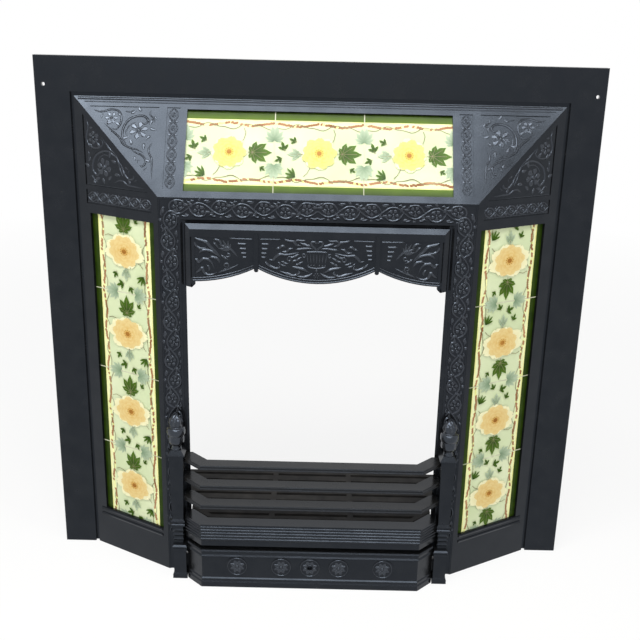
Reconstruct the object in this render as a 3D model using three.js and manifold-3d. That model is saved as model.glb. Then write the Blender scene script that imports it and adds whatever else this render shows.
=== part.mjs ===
// A tiled cast iron fireplace front with a projecting arch, three front bars, a reeded apron, an ash
// cover and a bottom grate. Millimetres, +Z up, +Y towards the wall. While it is built, y = 0 is the
// front face of the flat outer frame; the last group moves the part so that its box is centred in Y.
import * as THREE from "three";
import { mergeVertices } from "three/addons/utils/BufferGeometryUtils.js";
import Module from "manifold-3d";

const wasm = await Module();
wasm.setup();

// ---- Clearances ----------------------------------------------------------------------------------
const FIT_GAP = 0.3; // between pieces that bear on each other
const HOLE_GAP = 0.3; // round a shank, on the radius
const SLIDE_GAP = 1; // beside a piece that lifts or pulls out

// ---- Outer frame: a flat U with a lip behind its inner edge --------------------------------------
const FRAME_WIDTH = 980;
const FRAME_HEIGHT = 938;
const FRAME_BAND = 59.5;
const FRAME_PLATE = 7;
const FRAME_RETURN_DEPTH = 20;
const FRAME_RETURN_WALL = 5;
const FRAME_EDGE_CHAMFER = 1;
const LIP_SINK = 6;
const LIP_PLATE = 6;
const WALL_HOLE_RADIUS = 3.2;
const WALL_HOLE_FROM_SIDE = 15;
const WALL_HOLE_FROM_TOP = 48;

// ---- Splayed panels: three plates that slope forward from the frame to the arch ------------------
const GROOVE = 6.5; // shadow groove between the frame band and the panels
const SPLAY_RUN = 155; // across the front, the same at the top and at the sides
const SPLAY_DEPTH = 92; // how far the arch stands in front of the frame
const PANEL_PLATE = 5;
const PANEL_FOOT = 16;
const PANEL_FLANGE_WALL = 4.7;
const PANEL_FLANGE_DEPTH = 32;
const ARCH_FLANGE_WALL = 5;
const FIELD_SINK = 1.5; // depth of the fields that carry the relief

// ---- Tiles: six inch squares ---------------------------------------------------------------------
const TILE_SIZE = 152.4;
const TILE_THICKNESS = 7;
const TILE_JOINT = 0.6;
const TILE_EDGE_ROUND = 0.8;
const TILE_BED_GAP = 0.5; // between the tiles and the ribs round them
const RIB_WALL = 2.5;
const RIB_HEIGHT = 6;
const TOP_TILES_CLEAR = 38; // from the row of tiles to the arch's corner, at least
const TOP_TILES_HIDDEN = 2; // how much of the row the panel hides at each end
const TOP_WINDOW_OUTER_MARGIN = 20.5;
const TOP_WINDOW_INNER_MARGIN = 11.7;
const SIDE_WINDOW_LOW = 83;
const SIDE_TILES_CLEAR = 30; // from the stack of tiles to the arch's corner, at least
const SIDE_WINDOW_OUTER_MARGIN = 24.5;
const SIDE_WINDOW_INNER_MARGIN = 10.7;
const SIDE_TILES_HIDDEN_BELOW = 8;
const SIDE_TILES_HIDDEN_ABOVE = 15.4;
const STRAP_WIDTH = 30;
const STRAP_THICKNESS = 3;
const STRAP_END = 12; // from a strap's bolt to its end
const BOSS_SIZE = 18;
const BOSS_BEYOND_TILES = 14;
const SIDE_FOOT_BOLT_LOW = 190;
const SIDE_FOOT_BOLT_FROM_TOP = 235;
const TOP_FOOT_BOLT_FROM_END = 92; // from the end of the row of tiles
const SIDE_ARCH_BOLT_FROM_SILL = 50;
const SIDE_ARCH_BOLT_FROM_TOP = 96; // from the top of the arch
const TOP_ARCH_BOLT_FROM_CORNER = 112; // from the corner of the arch

// ---- Fields in the panels ------------------------------------------------------------------------
const FIELD_HIP_MARGIN = 14; // between a triangle field and the mitre, across the front
const FIELD_OUTER_MARGIN = 18;
const TOP_TRIANGLE_FROM_WINDOW = 48;
const TOP_CHAIN_FROM_WINDOW = 11.5;
const TOP_CHAIN_WIDTH = 23;
const CHAIN_INNER_MARGIN = 14;
const SIDE_CHAIN_ABOVE_WINDOW = 17;
const SIDE_CHAIN_HEIGHT = 25;
const SIDE_TRIANGLE_ABOVE_CHAIN = 8;
const SILL_BELOW_WINDOW = 1;
const SILL_BEAD = 5;
const SILL_BEADS = 2;
const SILL_SPACING = 11;
const SILL_PROUD = 2;
const SILL_SIDE_MARGIN = 13;

// ---- Arch round the fire opening -----------------------------------------------------------------
const ARCH_BORDER = 3;
const ARCH_FIELD = 30;
const ARCH_BEAD = 4;
const ARCH_COVE = 7.5;
const ARCH_PLATE = 7;
const ARCH_BEAD_PROUD = 1;
const ARCH_FIELD_SINK = 1;
const ARCH_COVE_SINK = 5;
const REVEAL_WALL = 6;
const REVEAL_DEPTH = 27;
const REVEAL_DRAFT = 5; // the reveal widens towards the back

// ---- Hood ----------------------------------------------------------------------------------------
const HOOD_HEIGHT = 110;
const HOOD_OVERLAP = 1; // of the hood's rim over the arch at the top
const HOOD_PROUD = 9;
const HOOD_PLATE = 6;
const HOOD_BEVEL = 12;
const HOOD_RIM = 17;
const HOOD_RIM_WALL = 6;
const HOOD_LOBE_RADIUS = 217;
const HOOD_RIB_FROM_CENTRE = 103;
const HOOD_RIB_WIDTH = 7;
const HOOD_RIB_PROUD = 2.5;
const HOOD_LOBE_ABOVE_FOOT = 11;
const HOOD_FOOT_WIDTH = 10;
const HOOD_FOOT_CHAMFER = 6;
const HOOD_SIDE_LOBE_IN = 13; // from the hood's end to the lowest point of its side lobe
const HOOD_FIELD_BORDER = 7;
const HOOD_FIELD_TOP = 21;
const HOOD_DROP_RADIUS = 4;
const HOOD_DROP_LENGTH = 5;
const HOOD_LUG_LENGTH = 55;
const HOOD_LUG_DEPTH = 26;
const HOOD_LUG_FROM_TOP = 20;

// ---- Posts, finials and plinth blocks ------------------------------------------------------------
const POST_WIDTH = 26;
const POST_DEPTH = 28;
const POST_IN = 1; // how far a post stands inside the middle of the arch leg
const POST_FOOT_HEIGHT = 37;
const POST_COLLAR_HEIGHT = 15;
const POST_CAP_HEIGHT = 11;
const POST_CAP_OUT = 2.5;
const POST_CAP_IN = 4; // how far the cap slopes in above its edge
const POST_TAPER = 3; // on each side, from the cap down to the collar
const POST_COLLAR_OUT = 2.8;
const POST_FOOT_IN = 4.5;
const POST_RIDGE_OUT = 1.5;
const POST_RIDGES = 3;
const POST_WALL = 5.5;
const HOOK_WALL = 6;
const POST_RISE_OVER_BARS = 14; // from the top bar to the top of the post's cap
const PLINTH_WIDTH = 23;
const PLINTH_DEPTH = 29;
const PLINTH_HEIGHT = 70;
const PLINTH_IN = 2.7; // how far the plinth block stands inside the post's line
const PLINTH_BASE_OUT = 2;
const PLINTH_BASE_HEIGHT = 8;
const PLINTH_CAP_HEIGHT = 13;
const SPIGOT_RADIUS = 4;
const SPIGOT_LENGTH = 10;
const FINIAL_HEIGHT = 68;
const FINIAL_DISH_RADIUS = 16.5;
const FINIAL_SIDES = 12;

// ---- Bars, apron and ash cover: the same plan, with a straight front and slanted ends ------------
const FRONT_REACH = 149; // from the frame's face to the bars' front face
const FRONT_CORNER_IN = 32.75; // from the posts' inner faces to the corners where the ends turn back
const BAR_COUNT = 3;
const BAR_TOP = 248;
const BAR_PITCH = 39.3;
const BAR_HEIGHT = 8;
const BAR_DEPTH = 26;
const BAR_BEAD = 2.8; // height of the two beads along a bar's front edge
const BAR_BEAD_ROUND = 1.3;
const TENON_LENGTH = 4;
const TENON_WIDTH = 12;
const TENON_HEIGHT = 5;
const APRON_HEIGHT = 44;
const APRON_WALL = 6;
const APRON_SHELF = 5;
const APRON_NOSING = 2.5;
const APRON_COVE = 1.5; // between the nosing and the reeds
const APRON_LEDGE_SINK = 9;
const APRON_LEDGE = 12;
const REED_COUNT = 5;
const REED_PITCH = 6;
const REED_DEPTH = 1.8;
const APRON_LEG_WIDTH = 12;
const APRON_LEG_DEPTH = 13;
const COVER_CORNER_IN = 1; // inside the bars' corners
const COVER_REACH = 146;
const COVER_HEIGHT = 77;
const COVER_WALL = 5;
const COVER_FLANGE = 22;
const COVER_FASCIA = 10;
const COVER_FASCIA_PROUD = 1;
const COVER_BEAD = 4.4;
const COVER_BEAD_PROUD = 2.4;
const COVER_BASE_PROUD = 3;
const COVER_BASE_HEIGHT = 19;
const COVER_PIT_RADIUS = 4.5; // the pit in the middle rosette
const COVER_PIT_FLOOR = 1.5;
const ROSETTE_RADIUS = 19;
const ROSETTE_PROUD = 1;
const ROSETTE_NEAR = 53;
const ROSETTE_FROM_CORNER = 62;

// ---- Bottom grate --------------------------------------------------------------------------------
const GRATE_SIDE_GAP = 1; // beside the grate, to the arch's reveal
const GRATE_REAR = 65; // behind the frame's face
const GRATE_SHOULDER = 8; // steps out behind the arch legs, so that the grate can't slide forward
const GRATE_FLARE = 27; // from the grate's side in the arch to its side at the rear
const GRATE_RIM = 10;
const GRATE_ROWS = 7;
const GRATE_COLUMNS = 3;
const GRATE_SLOT = 8; // from front to back; the slats between take the rest
const GRATE_RIB = 10; // between the columns of slots
const GRATE_LEG = 12;
const GRATE_LEG_INSET = 14;

// ---- Bolts ---------------------------------------------------------------------------------------
const BOLT_RADIUS = 4;
const BOLT_HEAD_RADIUS = 7;
const BOLT_HEAD_HEIGHT = 5;
const STRAP_BOLT_RADIUS = 3;
const STRAP_BOLT_HEAD_RADIUS = 5.5;
const STRAP_BOLT_HEAD_HEIGHT = 4;
const ROUND_SIDES = 12;
const STUD_HEIGHT = 150;
const HOOK_DROP = 16; // how far the posts come down over the studs
const LIFT_ROOM = 25; // how far the bars and posts lift to come off the studs

// ---- Sizes worked out from the driving dimensions ------------------------------------------------
const frameInner = FRAME_WIDTH / 2 - FRAME_BAND;
const frameInnerTop = FRAME_HEIGHT - FRAME_BAND;
const splayOuter = frameInner - GROOVE;
const splayOuterTop = frameInnerTop - GROOVE;
const archHalf = splayOuter - SPLAY_RUN;
const archTop = splayOuterTop - SPLAY_RUN;
const slope = Math.hypot(SPLAY_RUN, SPLAY_DEPTH);
const cosSlope = SPLAY_RUN / slope;
const sinSlope = SPLAY_DEPTH / slope;
const archLeg = ARCH_COVE + ARCH_BEAD + ARCH_FIELD + ARCH_BORDER;
const openingHalf = archHalf - archLeg;
const openingTop = archTop - archLeg;
const archFace = -SPLAY_DEPTH;
const archBack = archFace + ARCH_FIELD_SINK + ARCH_PLATE;
const standBack = archFace - ARCH_BEAD_PROUD - FIT_GAP; // back of what stands against the arch legs
const postX = openingHalf + archLeg / 2 - POST_IN;
const postInner = postX - POST_WIDTH / 2;
const postFront = standBack - POST_DEPTH;
const postFoot = PLINTH_HEIGHT + FIT_GAP;
const postTop = BAR_TOP + POST_RISE_OVER_BARS;
const frontHalf = postInner - FRONT_CORNER_IN;
const coverHalf = frontHalf - COVER_CORNER_IN;
const grateHalf = openingHalf - GRATE_SIDE_GAP;
const plinthX = postX - PLINTH_IN;
const plinthFront = standBack - PLINTH_DEPTH;
const plinthInner = plinthX - PLINTH_WIDTH / 2 - PLINTH_BASE_OUT;
const frontFace = -FRONT_REACH;
const apronTop = BAR_TOP - BAR_COUNT * BAR_PITCH;
const tilePitch = TILE_SIZE + TILE_JOINT;
const tilesWithin = (length) => Math.floor((length + TILE_JOINT) / tilePitch);
const rowOf = (count) => count * tilePitch - TILE_JOINT;
const topTiles = tilesWithin(2 * (archHalf - TOP_TILES_CLEAR));
const sideStackLow = SIDE_WINDOW_LOW - SIDE_TILES_HIDDEN_BELOW;
const sideTiles = tilesWithin(archTop - SIDE_TILES_CLEAR - sideStackLow);
const sideStackHigh = sideStackLow + rowOf(sideTiles);
const sideWindowHigh = sideStackHigh - SIDE_TILES_HIDDEN_ABOVE;
const topWindowHalf = rowOf(topTiles) / 2 - TOP_TILES_HIDDEN;
const tileBack = -PANEL_PLATE - FIT_GAP - TILE_THICKNESS;
const coverFace = -COVER_REACH;

// ---- Finishes ------------------------------------------------------------------------------------
const castIron = new THREE.MeshStandardMaterial({ color: 0x26282c, roughness: 0.45, metalness: 0.6 });
const darkIron = new THREE.MeshStandardMaterial({ color: 0x1d1c1b, roughness: 0.8, metalness: 0.4 });
const glazedTile = new THREE.MeshStandardMaterial({ color: 0xd8e2a8, roughness: 0.12, metalness: 0 });
const steel = new THREE.MeshStandardMaterial({ color: 0x77787a, roughness: 0.5, metalness: 0.9 });

// ---- Where a flat outline lies: [a, b] is the outline's plane and c is square to it ---------------
const inPlan = (a, b, c) => [a, b, c];
const inFace = (a, b, c) => [a, c, b];
const alongX = (a, b, c) => [c, a, b];

// ---- Solids --------------------------------------------------------------------------------------
// The closed surface through a row of rings, capped at both ends. Each ring has a point for each
// point of the outline, which runs anticlockwise.
function loft(rings, outline) {
  const count = outline.length;
  const index = [];
  for (let ring = 0; ring + 1 < rings.length; ring++) {
    for (let i = 0; i < count; i++) {
      const here = ring * count + i;
      const next = ring * count + ((i + 1) % count);
      index.push(here, next, next + count, here, next + count, here + count);
    }
  }
  const flat = outline.map(([a, b]) => new THREE.Vector2(a, b));
  const last = (rings.length - 1) * count;
  for (const [a, b, c] of THREE.ShapeUtils.triangulateShape(flat, [])) {
    index.push(a, c, b, last + a, last + b, last + c);
  }
  const geometry = new THREE.BufferGeometry();
  geometry.setAttribute("position", new THREE.Float32BufferAttribute(rings.flat(2), 3));
  geometry.setIndex(index);
  return solidOf(geometry);
}

// Six times the volume inside a surface, negative if its faces point inwards.
function signedVolume(points, index) {
  const corner = [new THREE.Vector3(), new THREE.Vector3(), new THREE.Vector3()];
  let sum = 0;
  for (let i = 0; i < index.count; i += 3) {
    corner.forEach((v, k) => v.fromBufferAttribute(points, index.getX(i + k)));
    sum += corner[0].dot(corner[1].cross(corner[2]));
  }
  return sum;
}

function solidOf(source) {
  const geometry = source.clone();
  geometry.deleteAttribute("normal");
  geometry.deleteAttribute("uv");
  const merged = mergeVertices(geometry, 1e-4);
  const triVerts = new Uint32Array(merged.index.array);
  if (signedVolume(merged.attributes.position, merged.index) < 0) triVerts.reverse();
  const vertProperties = new Float32Array(merged.attributes.position.array);
  return new wasm.Manifold(new wasm.Mesh({ numProp: 3, vertProperties, triVerts }));
}

function anticlockwise(outline) {
  const flat = outline.map(([a, b]) => new THREE.Vector2(a, b));
  return THREE.ShapeUtils.area(flat) < 0 ? [...outline].reverse() : outline;
}

// An outline drawn in one plane and carried straight from one level to another.
function prism(outline, low, high, place = inPlan) {
  const section = anticlockwise(outline);
  return loft([low, high].map((level) => section.map(([a, b]) => place(a, b, level))), section);
}

function box([x0, x1], [y0, y1], [z0, z1]) {
  return prism([[x0, y0], [x1, y0], [x1, y1], [x0, y1]], z0, z1);
}

function circle(a, b, radius, sides = ROUND_SIDES) {
  const turn = (i) => ((i + 0.5) / sides) * 2 * Math.PI;
  return Array.from({ length: sides }, (_, i) => [
    a + radius * Math.cos(turn(i)),
    b + radius * Math.sin(turn(i)),
  ]);
}

// A closed section carried along an open path with mitred corners. A section point is [out, level]:
// out is square to the path, on its left-hand side. A cut turns an end face into that direction.
function mitredSweep(path, outline, place, cuts = {}) {
  const section = anticlockwise(outline);
  const normals = path.slice(1).map(([a, b], i) => {
    const length = Math.hypot(a - path[i][0], b - path[i][1]);
    return [-(b - path[i][1]) / length, (a - path[i][0]) / length];
  });
  const rings = path.map(([a, b], i) => {
    const before = normals[Math.max(i - 1, 0)];
    const after = normals[Math.min(i, normals.length - 1)];
    let cut = [before[0] + after[0], before[1] + after[1]];
    if (i === 0 && cuts.start) cut = cuts.start;
    if (i === path.length - 1 && cuts.end) cut = cuts.end;
    const stretch = 1 / (cut[0] * after[0] + cut[1] * after[1]);
    return section.map(([out, level]) => {
      return place(a + cut[0] * out * stretch, b + cut[1] * out * stretch, level);
    });
  });
  return loft(rings, section);
}

// A turned piece about the Z axis. The profile is [radius, height] and starts and ends on the axis.
function turned(profile, sides) {
  const points = profile.map(([radius, height]) => new THREE.Vector2(radius, height));
  return solidOf(new THREE.LatheGeometry(points, sides).rotateX(Math.PI / 2));
}

// A block against the wall plane whose front and sides step out and in. A level is [height, out].
function steppedBlock(centre, halfWidth, front, back, levels) {
  const outline = [[-1, 0], [1, 0], [1, 1], [-1, 1]];
  const rings = levels.map(([height, out]) => {
    return outline.map(([side, atBack]) => [
      centre + side * (halfWidth + out),
      atBack ? back : front - out,
      height,
    ]);
  });
  return loft(rings, outline);
}

// Section points of a bead that stands out from a face, from its lower to its upper edge. Its top
// slopes, so that it sheds ash and catches the light.
function bead(face, proud, low, high) {
  const at = (share, height) => [face + proud * share, low + (high - low) * height];
  return [at(0, 0), at(0.7, 0.08), at(1, 0.22), at(1, 0.4), at(0, 1)];
}

const joined = (solids) => solids.reduce((all, one) => all.add(one));
const cutBy = (solid, tools) => tools.reduce((rest, tool) => rest.subtract(tool), solid);

function meshOf(name, solid, material) {
  const { vertProperties, triVerts } = solid.getMesh();
  const indexed = new THREE.BufferGeometry();
  indexed.setAttribute("position", new THREE.BufferAttribute(vertProperties, 3));
  indexed.setIndex(new THREE.BufferAttribute(triVerts, 1));
  const geometry = indexed.toNonIndexed();
  geometry.computeVertexNormals();
  const mesh = new THREE.Mesh(geometry, material);
  mesh.name = name;
  return mesh;
}

// A bolt whose shank runs along +Z from the seat of its head at z = 0.
function boltSolid(
  shank,
  radius = BOLT_RADIUS,
  headRadius = BOLT_HEAD_RADIUS,
  headHeight = BOLT_HEAD_HEIGHT,
) {
  const head = prism(circle(0, 0, headRadius, 6), -headHeight, 0);
  return head.add(prism(circle(0, 0, radius), -headHeight / 2, shank));
}

function addBolt(group, name, position, direction, shank, sizes = []) {
  const mesh = meshOf(name, boltSolid(shank, ...sizes), steel);
  mesh.position.set(...position);
  mesh.quaternion.setFromUnitVectors(new THREE.Vector3(0, 0, 1), new THREE.Vector3(...direction));
  group.add(mesh);
}

const fireplace = new THREE.Group();

// ---- Outer frame ---------------------------------------------------------------------------------
const LIP_REACH = GROOVE + PANEL_FOOT;
const frameSection = [
  [0, 0],
  [FRAME_BAND - FRAME_EDGE_CHAMFER, 0],
  [FRAME_BAND, FRAME_EDGE_CHAMFER],
  [FRAME_BAND, FRAME_RETURN_DEPTH],
  [FRAME_BAND - FRAME_RETURN_WALL, FRAME_RETURN_DEPTH],
  [FRAME_BAND - FRAME_RETURN_WALL, FRAME_PLATE],
  [LIP_PLATE, FRAME_PLATE],
  [LIP_PLATE, LIP_SINK + LIP_PLATE],
  [-LIP_REACH, LIP_SINK + LIP_PLATE],
  [-LIP_REACH, LIP_SINK],
  [0, LIP_SINK],
];
const framePath = [
  [-frameInner, 0],
  [-frameInner, frameInnerTop],
  [frameInner, frameInnerTop],
  [frameInner, 0],
];
// Bolts through the lip into the panels' feet: [x, z] for each.
const footMiddle = PANEL_FOOT / 2;
const lipBoltHeights = [SIDE_FOOT_BOLT_LOW, FRAME_HEIGHT - SIDE_FOOT_BOLT_FROM_TOP];
const topFootBolts = [-1, 1].map((side) => side * (rowOf(topTiles) / 2 - TOP_FOOT_BOLT_FROM_END));
const lipBolts = [-1, 1].flatMap((side, i) => [
  ...lipBoltHeights.map((z) => [side * (splayOuter - footMiddle), z]),
  [topFootBolts[i], splayOuterTop - footMiddle],
]);
const lipBack = LIP_SINK + LIP_PLATE;
const lipBoltDepth = lipBack + 2;
const holeRadius = BOLT_RADIUS + HOLE_GAP;

function outerFrame() {
  const wallHoles = [-1, 1].map((side) => {
    const x = side * (FRAME_WIDTH / 2 - WALL_HOLE_FROM_SIDE);
    return prism(circle(x, FRAME_HEIGHT - WALL_HOLE_FROM_TOP, WALL_HOLE_RADIUS), -1, FRAME_PLATE + 1, inFace);
  });
  const boltHoles = lipBolts.map(([x, z]) => prism(circle(x, z, holeRadius), -1, lipBack + 1, inFace));
  return cutBy(mitredSweep(framePath, frameSection, inFace), [...wallHoles, ...boltHoles]);
}
fireplace.add(meshOf("outer_frame", outerFrame(), castIron));
lipBolts.forEach(([x, z], i) => {
  addBolt(fireplace, `frame_bolt_${i + 1}`, [x, lipBack + FIT_GAP, z], [0, -1, 0], lipBoltDepth);
});

// ---- Splayed panels, each in its own frame: X along it, Y up the slope from its outer edge and Z
// out of its face. A point of the slope is [up, out of the face].
const acrossAndBack = (out, back) => [
  out * cosSlope + back * sinSlope,
  out * sinSlope - back * cosSlope,
];
const acrossOf = ([up, face]) => up * cosSlope + face * sinSlope;
const footInner = (-PANEL_FOOT + PANEL_PLATE * sinSlope) / cosSlope;
const panelSection = [
  [0, 0],
  acrossAndBack(0, LIP_SINK - FIT_GAP),
  acrossAndBack(-PANEL_FOOT, LIP_SINK - FIT_GAP),
  [footInner, -PANEL_PLATE],
  [-slope + PANEL_FLANGE_WALL, -PANEL_PLATE],
  [-slope + PANEL_FLANGE_WALL, -PANEL_FLANGE_DEPTH],
  [-slope, -PANEL_FLANGE_DEPTH],
  [-slope, 0],
];
const flangeBoltFace = -PANEL_FLANGE_DEPTH * 0.75;

// The panel's plate between two ends, each a place along X for each distance across the front.
function panelPlate(startAt, endAt) {
  const section = anticlockwise(panelSection);
  const rings = [startAt, endAt].map((at) => section.map((p) => [at(acrossOf(p)), p[0], p[1]]));
  return loft(rings, section);
}

// The room for a field sunk in a panel's face, which keeps clear of the face's inner edge.
function relief(outline) {
  const reach = [-FRAME_WIDTH - FRAME_HEIGHT, FRAME_WIDTH + FRAME_HEIGHT];
  const face = box(reach, [-slope + CHAIN_INNER_MARGIN, -FIELD_OUTER_MARGIN], [-FIELD_SINK, 1]);
  return face.intersect(prism(outline, -FIELD_SINK, 1));
}

// Ribs round the tiles on the panel's back, bosses for the strap, the window and the bolt holes.
function tiledPanel(plate, window, stack, flangeBolts, footBolts) {
  const back = -PANEL_PLATE;
  const bed = [stack.from - TILE_BED_GAP, stack.to + TILE_BED_GAP];
  const bedLow = stack.middle - TILE_SIZE / 2 - TILE_BED_GAP;
  const bedHigh = stack.middle + TILE_SIZE / 2 + TILE_BED_GAP;
  const ribFace = [back - RIB_HEIGHT, back + 1];
  const endRibs = [
    [bed[0] - RIB_WALL, bed[0]],
    [bed[1], bed[1] + RIB_WALL],
  ].map((along) => box(along, [bedLow, bedHigh - RIB_WALL], ribFace));
  const bosses = strapBoltsAt(stack).map((x) => {
    const across = [stack.middle - BOSS_SIZE / 2, stack.middle + BOSS_SIZE / 2];
    return box([x - BOSS_SIZE / 2, x + BOSS_SIZE / 2], across, [tileBack, back + 1]);
  });
  const opening = box(window.along, window.up, [back - 1, 1]);
  const strapHoles = strapBoltsAt(stack).map((x) => {
    const round = circle(x, stack.middle, STRAP_BOLT_RADIUS + HOLE_GAP);
    return prism(round, tileBack - 1, back + 1.5);
  });
  const flangeHoles = flangeBolts.map((x) => {
    return flangeHole(x, -slope - 1, -slope + PANEL_FLANGE_WALL + 1);
  });
  const footHoles = footBolts.map((x) => {
    const start = acrossAndBack(-footMiddle, LIP_SINK + 1);
    const end = acrossAndBack(-footMiddle, lipBack + FIT_GAP - lipBoltDepth - FIT_GAP);
    return slantedHole(x, start, end);
  });
  const holes = [...strapHoles, ...flangeHoles, ...footHoles];
  return cutBy(joined([plate, ...endRibs, ...bosses]), [opening, ...holes]);
}

// A bolt hole along the slope, at the depth of the bolts that join a panel's flange to the arch's.
function flangeHole(x, low, high) {
  return prism(circle(flangeBoltFace, x, holeRadius), low, high, (a, b, c) => [b, c, a]);
}

// A round hole at one place along the panel, from one point of its slope to another.
function slantedHole(x, [up0, face0], [up1, face1]) {
  const direction = new THREE.Vector3(0, up1 - up0, face1 - face0);
  const length = direction.length();
  const turn = new THREE.Quaternion().setFromUnitVectors(
    new THREE.Vector3(0, 0, 1),
    direction.normalize(),
  );
  const geometry = new THREE.CylinderGeometry(holeRadius, holeRadius, length, ROUND_SIDES);
  geometry.rotateX(Math.PI / 2);
  geometry.translate(0, 0, length / 2);
  geometry.applyQuaternion(turn);
  geometry.translate(x, up0, face0);
  return solidOf(geometry);
}

function strapBoltsAt(stack) {
  return [stack.from - BOSS_BEYOND_TILES, stack.to + BOSS_BEYOND_TILES];
}

function panelGroup(position, x, y, z) {
  const group = new THREE.Group();
  const axes = [x, y, z].map((axis) => new THREE.Vector3(...axis));
  group.quaternion.setFromRotationMatrix(new THREE.Matrix4().makeBasis(...axes));
  group.position.set(...position);
  fireplace.add(group);
  return group;
}

function tileSolid() {
  const half = TILE_SIZE / 2;
  const outline = [[-half, -half], [half, -half], [half, half], [-half, half]];
  const inset = 1 - TILE_EDGE_ROUND / half;
  const rings = [
    [-TILE_THICKNESS, 1],
    [-TILE_EDGE_ROUND, 1],
    [0, inset],
  ].map(([level, scale]) => outline.map(([a, b]) => [a * scale, b * scale, level]));
  return loft(rings, outline);
}

function addTiles(group, name, stack, count, order) {
  for (let i = 0; i < count; i++) {
    const mesh = meshOf(`${name}_${order === 1 ? i + 1 : count - i}`, tileSolid(), glazedTile);
    mesh.position.set(stack.from + TILE_SIZE / 2 + i * tilePitch, stack.middle, -PANEL_PLATE - FIT_GAP);
    group.add(mesh);
  }
}

function addStrap(group, name, stack) {
  const bolts = strapBoltsAt(stack);
  const low = tileBack - FIT_GAP - STRAP_THICKNESS;
  const along = [bolts[0] - STRAP_END, bolts[1] + STRAP_END];
  const across = [stack.middle - STRAP_WIDTH / 2, stack.middle + STRAP_WIDTH / 2];
  const holes = bolts.map((x) => {
    return prism(circle(x, stack.middle, STRAP_BOLT_RADIUS + HOLE_GAP), low - 1, low + STRAP_THICKNESS + 1);
  });
  const strap = cutBy(box(along, across, [low, low + STRAP_THICKNESS]), holes);
  group.add(meshOf(`${name}_tile_strap`, strap, steel));
  const shank = STRAP_THICKNESS + TILE_THICKNESS + FIT_GAP;
  const sizes = [STRAP_BOLT_RADIUS, STRAP_BOLT_HEAD_RADIUS, STRAP_BOLT_HEAD_HEIGHT];
  bolts.forEach((x, i) => {
    addBolt(group, `${name}_strap_bolt_${i + 1}`, [x, stack.middle, low - FIT_GAP], [0, 0, 1], shank, sizes);
  });
}

// Bolts that hold a panel's flange to the arch's, from the arch's side.
const flangeBoltStart = -slope - FIT_GAP - ARCH_FLANGE_WALL - FIT_GAP;
function addFlangeBolts(group, name, places) {
  places.forEach((x, i) => {
    const position = [x, flangeBoltStart, flangeBoltFace];
    addBolt(group, `${name}_arch_bolt_${i + 1}`, position, [0, 1, 0], ARCH_FLANGE_WALL + PANEL_FLANGE_WALL);
  });
}

// ---- Top panel -----------------------------------------------------------------------------------
const topWindowUp = [-slope + TOP_WINDOW_INNER_MARGIN, -TOP_WINDOW_OUTER_MARGIN];
const topStack = {
  from: -rowOf(topTiles) / 2,
  to: rowOf(topTiles) / 2,
  middle: (topWindowUp[0] + topWindowUp[1]) / 2,
};
const topFlangeBolts = [-1, 1].map((side) => side * (archHalf - TOP_ARCH_BOLT_FROM_CORNER));
const mitre = FIT_GAP / 2;

function topPanel() {
  const plate = panelPlate(
    (across) => -(splayOuter + across - mitre),
    (across) => splayOuter + across - mitre,
  );
  const window = { along: [-topWindowHalf, topWindowHalf], up: topWindowUp };
  const panel = tiledPanel(plate, window, topStack, topFlangeBolts, topFootBolts);
  const fields = [-1, 1].flatMap((side) => {
    const inner = topWindowHalf + TOP_TRIANGLE_FROM_WINDOW;
    const hipAt = (up) => splayOuter + up * cosSlope - FIELD_HIP_MARGIN;
    const lowest = (inner + FIELD_HIP_MARGIN - splayOuter) / cosSlope;
    const triangle = [
      [inner, -FIELD_OUTER_MARGIN],
      [hipAt(-FIELD_OUTER_MARGIN), -FIELD_OUTER_MARGIN],
      [inner, lowest],
    ];
    const chainIn = topWindowHalf + TOP_CHAIN_FROM_WINDOW;
    const chain = [
      [chainIn, -FIELD_OUTER_MARGIN],
      [chainIn + TOP_CHAIN_WIDTH, -FIELD_OUTER_MARGIN],
      [chainIn + TOP_CHAIN_WIDTH, -slope + CHAIN_INNER_MARGIN],
      [chainIn, -slope + CHAIN_INNER_MARGIN],
    ];
    return [triangle, chain].map((outline) => relief(outline.map(([x, up]) => [side * x, up])));
  });
  return cutBy(panel, fields);
}
const topGroup = panelGroup(
  [0, 0, splayOuterTop],
  [1, 0, 0],
  [0, sinSlope, cosSlope],
  [0, -cosSlope, sinSlope],
);
topGroup.add(meshOf("top_panel", topPanel(), castIron));
addTiles(topGroup, "top_tile", topStack, topTiles, 1);
addStrap(topGroup, "top", topStack);
addFlangeBolts(topGroup, "top", topFlangeBolts);

// ---- Side panels: their X runs up on the left and down on the right ------------------------------
const sideWindowUp = [-slope + SIDE_WINDOW_INNER_MARGIN, -SIDE_WINDOW_OUTER_MARGIN];
const sideFlangeHeights = [SIDE_WINDOW_LOW + SIDE_ARCH_BOLT_FROM_SILL, archTop - SIDE_ARCH_BOLT_FROM_TOP];

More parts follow.
